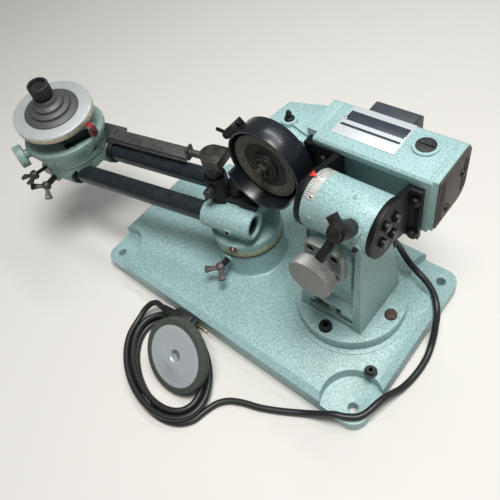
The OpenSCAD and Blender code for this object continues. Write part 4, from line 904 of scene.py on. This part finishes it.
# Arm: set screw of the clamp tube, rings under the cap of the rest post
POST = ARM @ move(17, 8, 0)
RING_INNER, RING_OUTER, RING_H = 8, 9.6, 2.2
ring_outline = [(RING_INNER, 0), (RING_OUTER - 0.3, 0), (RING_OUTER, 0.5), (RING_OUTER, RING_H - 0.5),
                (RING_OUTER - 0.3, RING_H), (RING_INNER, RING_H), (RING_INNER, 0)]
piece("tube_set_screw", [(socket_screw(3.4, 2, steps=24), ARM @ move(-4, 39.2, 80) @ turn(-90, "X"))],
      "arm", black_screw, "black_steel")
piece("post_rings", [(turned(ring_outline, 40), POST @ move(0, 0, z)) for z in (146, 149.2)],
      "post", post_steel, "dull_steel")

# Return spring on the hinge pin: a leg at each end, three turns between them
SPRING_R, SPRING_PITCH, SPRING_TURNS, TURN_POINTS, WIRE_R = 7.2, 2.2, 3, 16, 0.8
SPRING_X, SPRING_END_X, FOOT_TOP = -20.4, -13.6, 26
spring_line = [(SPRING_X, HINGE_Y - 14, HINGE_Z - SPRING_R - 3.5),
               (SPRING_X, HINGE_Y - 8, HINGE_Z - SPRING_R - 1.6)]
for i in range(SPRING_TURNS * TURN_POINTS + 1):
    a = math.radians(360 / TURN_POINTS * i - 90)
    spring_line.append((SPRING_X + SPRING_PITCH * i / TURN_POINTS, HINGE_Y + SPRING_R * math.cos(a),
                        HINGE_Z + SPRING_R * math.sin(a)))
spring_line += [(SPRING_END_X, HINGE_Y + 7, HINGE_Z - SPRING_R - 0.4),
                (SPRING_END_X, HINGE_Y + 12, FOOT_TOP + WIRE_R + 0.3)]
spring_path = [MM * (COLUMN @ p) for p in smooth_line(spring_line, steps=2)]
spring_bm = bmesh.new()
spring_bm.from_mesh(tube_mesh("spring", spring_path, WIRE_R * MM, resolution=2))
settle("coiled_return_spring", spring_bm, "base", spring_steel, ["return_spring"])

# Spare wheel: dished metal hub in a ring of abrasive
SPARE_BORE_R, SPARE_HUB_R = 7, 36.4
GRIT_R = SPARE_HUB_R - 0.1
hub_outline = [(SPARE_BORE_R, -SPARE_T), (SPARE_HUB_R, -SPARE_T), (SPARE_HUB_R, -0.3), (35, -0.2),
               (33.4, -0.8), (31, -1.2), (19.4, -1.5), (18.6, -1.2), (8.4, -1.2), (SPARE_BORE_R, -2.4),
               (SPARE_BORE_R, -SPARE_T)]
piece("spare_hub", [(turned(hub_outline, 96), SPARE)], "base", spare_metal, "aluminium", ["spare_wheel"])
grit_outline = [(GRIT_R, 1 - SPARE_T), (SPARE_R - 1, -SPARE_T), (SPARE_R, 1 - SPARE_T), (SPARE_R, -1),
                (SPARE_R - 1, 0), (37, 0), (GRIT_R, -0.5), (GRIT_R, 1 - SPARE_T)]
piece("spare_grit_ring", [(turned(grit_outline, 96), SPARE)], "base", spare_grit, "abrasive", ["spare_rim"])

# Studio: pale floor, soft light from above
FLOOR_HALF = 6
floor_finish = Finish("pale_floor", tone(214, 212, 207), 0.7)
floor_finish.rough(floor_finish.fit(floor_finish.noise(60, detail=3), 0.3, 0.7, 0.65, 0.75))
floor_mesh = bpy.data.meshes.new("floor")
floor_bm = bmesh.new()
bmesh.ops.create_grid(floor_bm, x_segments=2, y_segments=2, size=FLOOR_HALF)
floor_bm.to_mesh(floor_mesh)
floor_bm.free()
floor_mesh.materials.append(floor_finish.material)
floor = bpy.data.objects.new("floor", floor_mesh)
bpy.context.scene.collection.objects.link(floor)


def lamp(name, place, aim, size, watts, color=(1, 1, 1)):
    """Soft rectangular light at a place, in metres, turned to its aim."""
    light = bpy.data.lights.new(name, "AREA")
    light.shape = "RECTANGLE"
    light.size, light.size_y = size
    light.energy = watts
    light.color = color
    holder = bpy.data.objects.new(name, light)
    holder.location = place
    holder.rotation_euler = (Vector(aim) - Vector(place)).to_track_quat("-Z", "Y").to_euler()
    bpy.context.scene.collection.objects.link(holder)


lamp("ceiling_panel", place=(0.36, -0.08, 1.7), aim=(0.06, -0.02, 0.05), size=(0.75, 0.65), watts=32,
     color=(1.0, 0.99, 0.97))
lamp("ceiling_tube", place=(0.1, 0.75, 1.6), aim=(0.05, 0, 0.2), size=(1.4, 0.1), watts=7)
world = bpy.data.worlds.new("studio")
world.use_nodes = True
sky = world.node_tree.nodes["Background"].inputs
sky["Color"].default_value = (0.94, 0.97, 1.0, 1)
sky["Strength"].default_value = 0.17
bpy.context.scene.world = world
bpy.context.scene.view_settings.view_transform = "Standard"
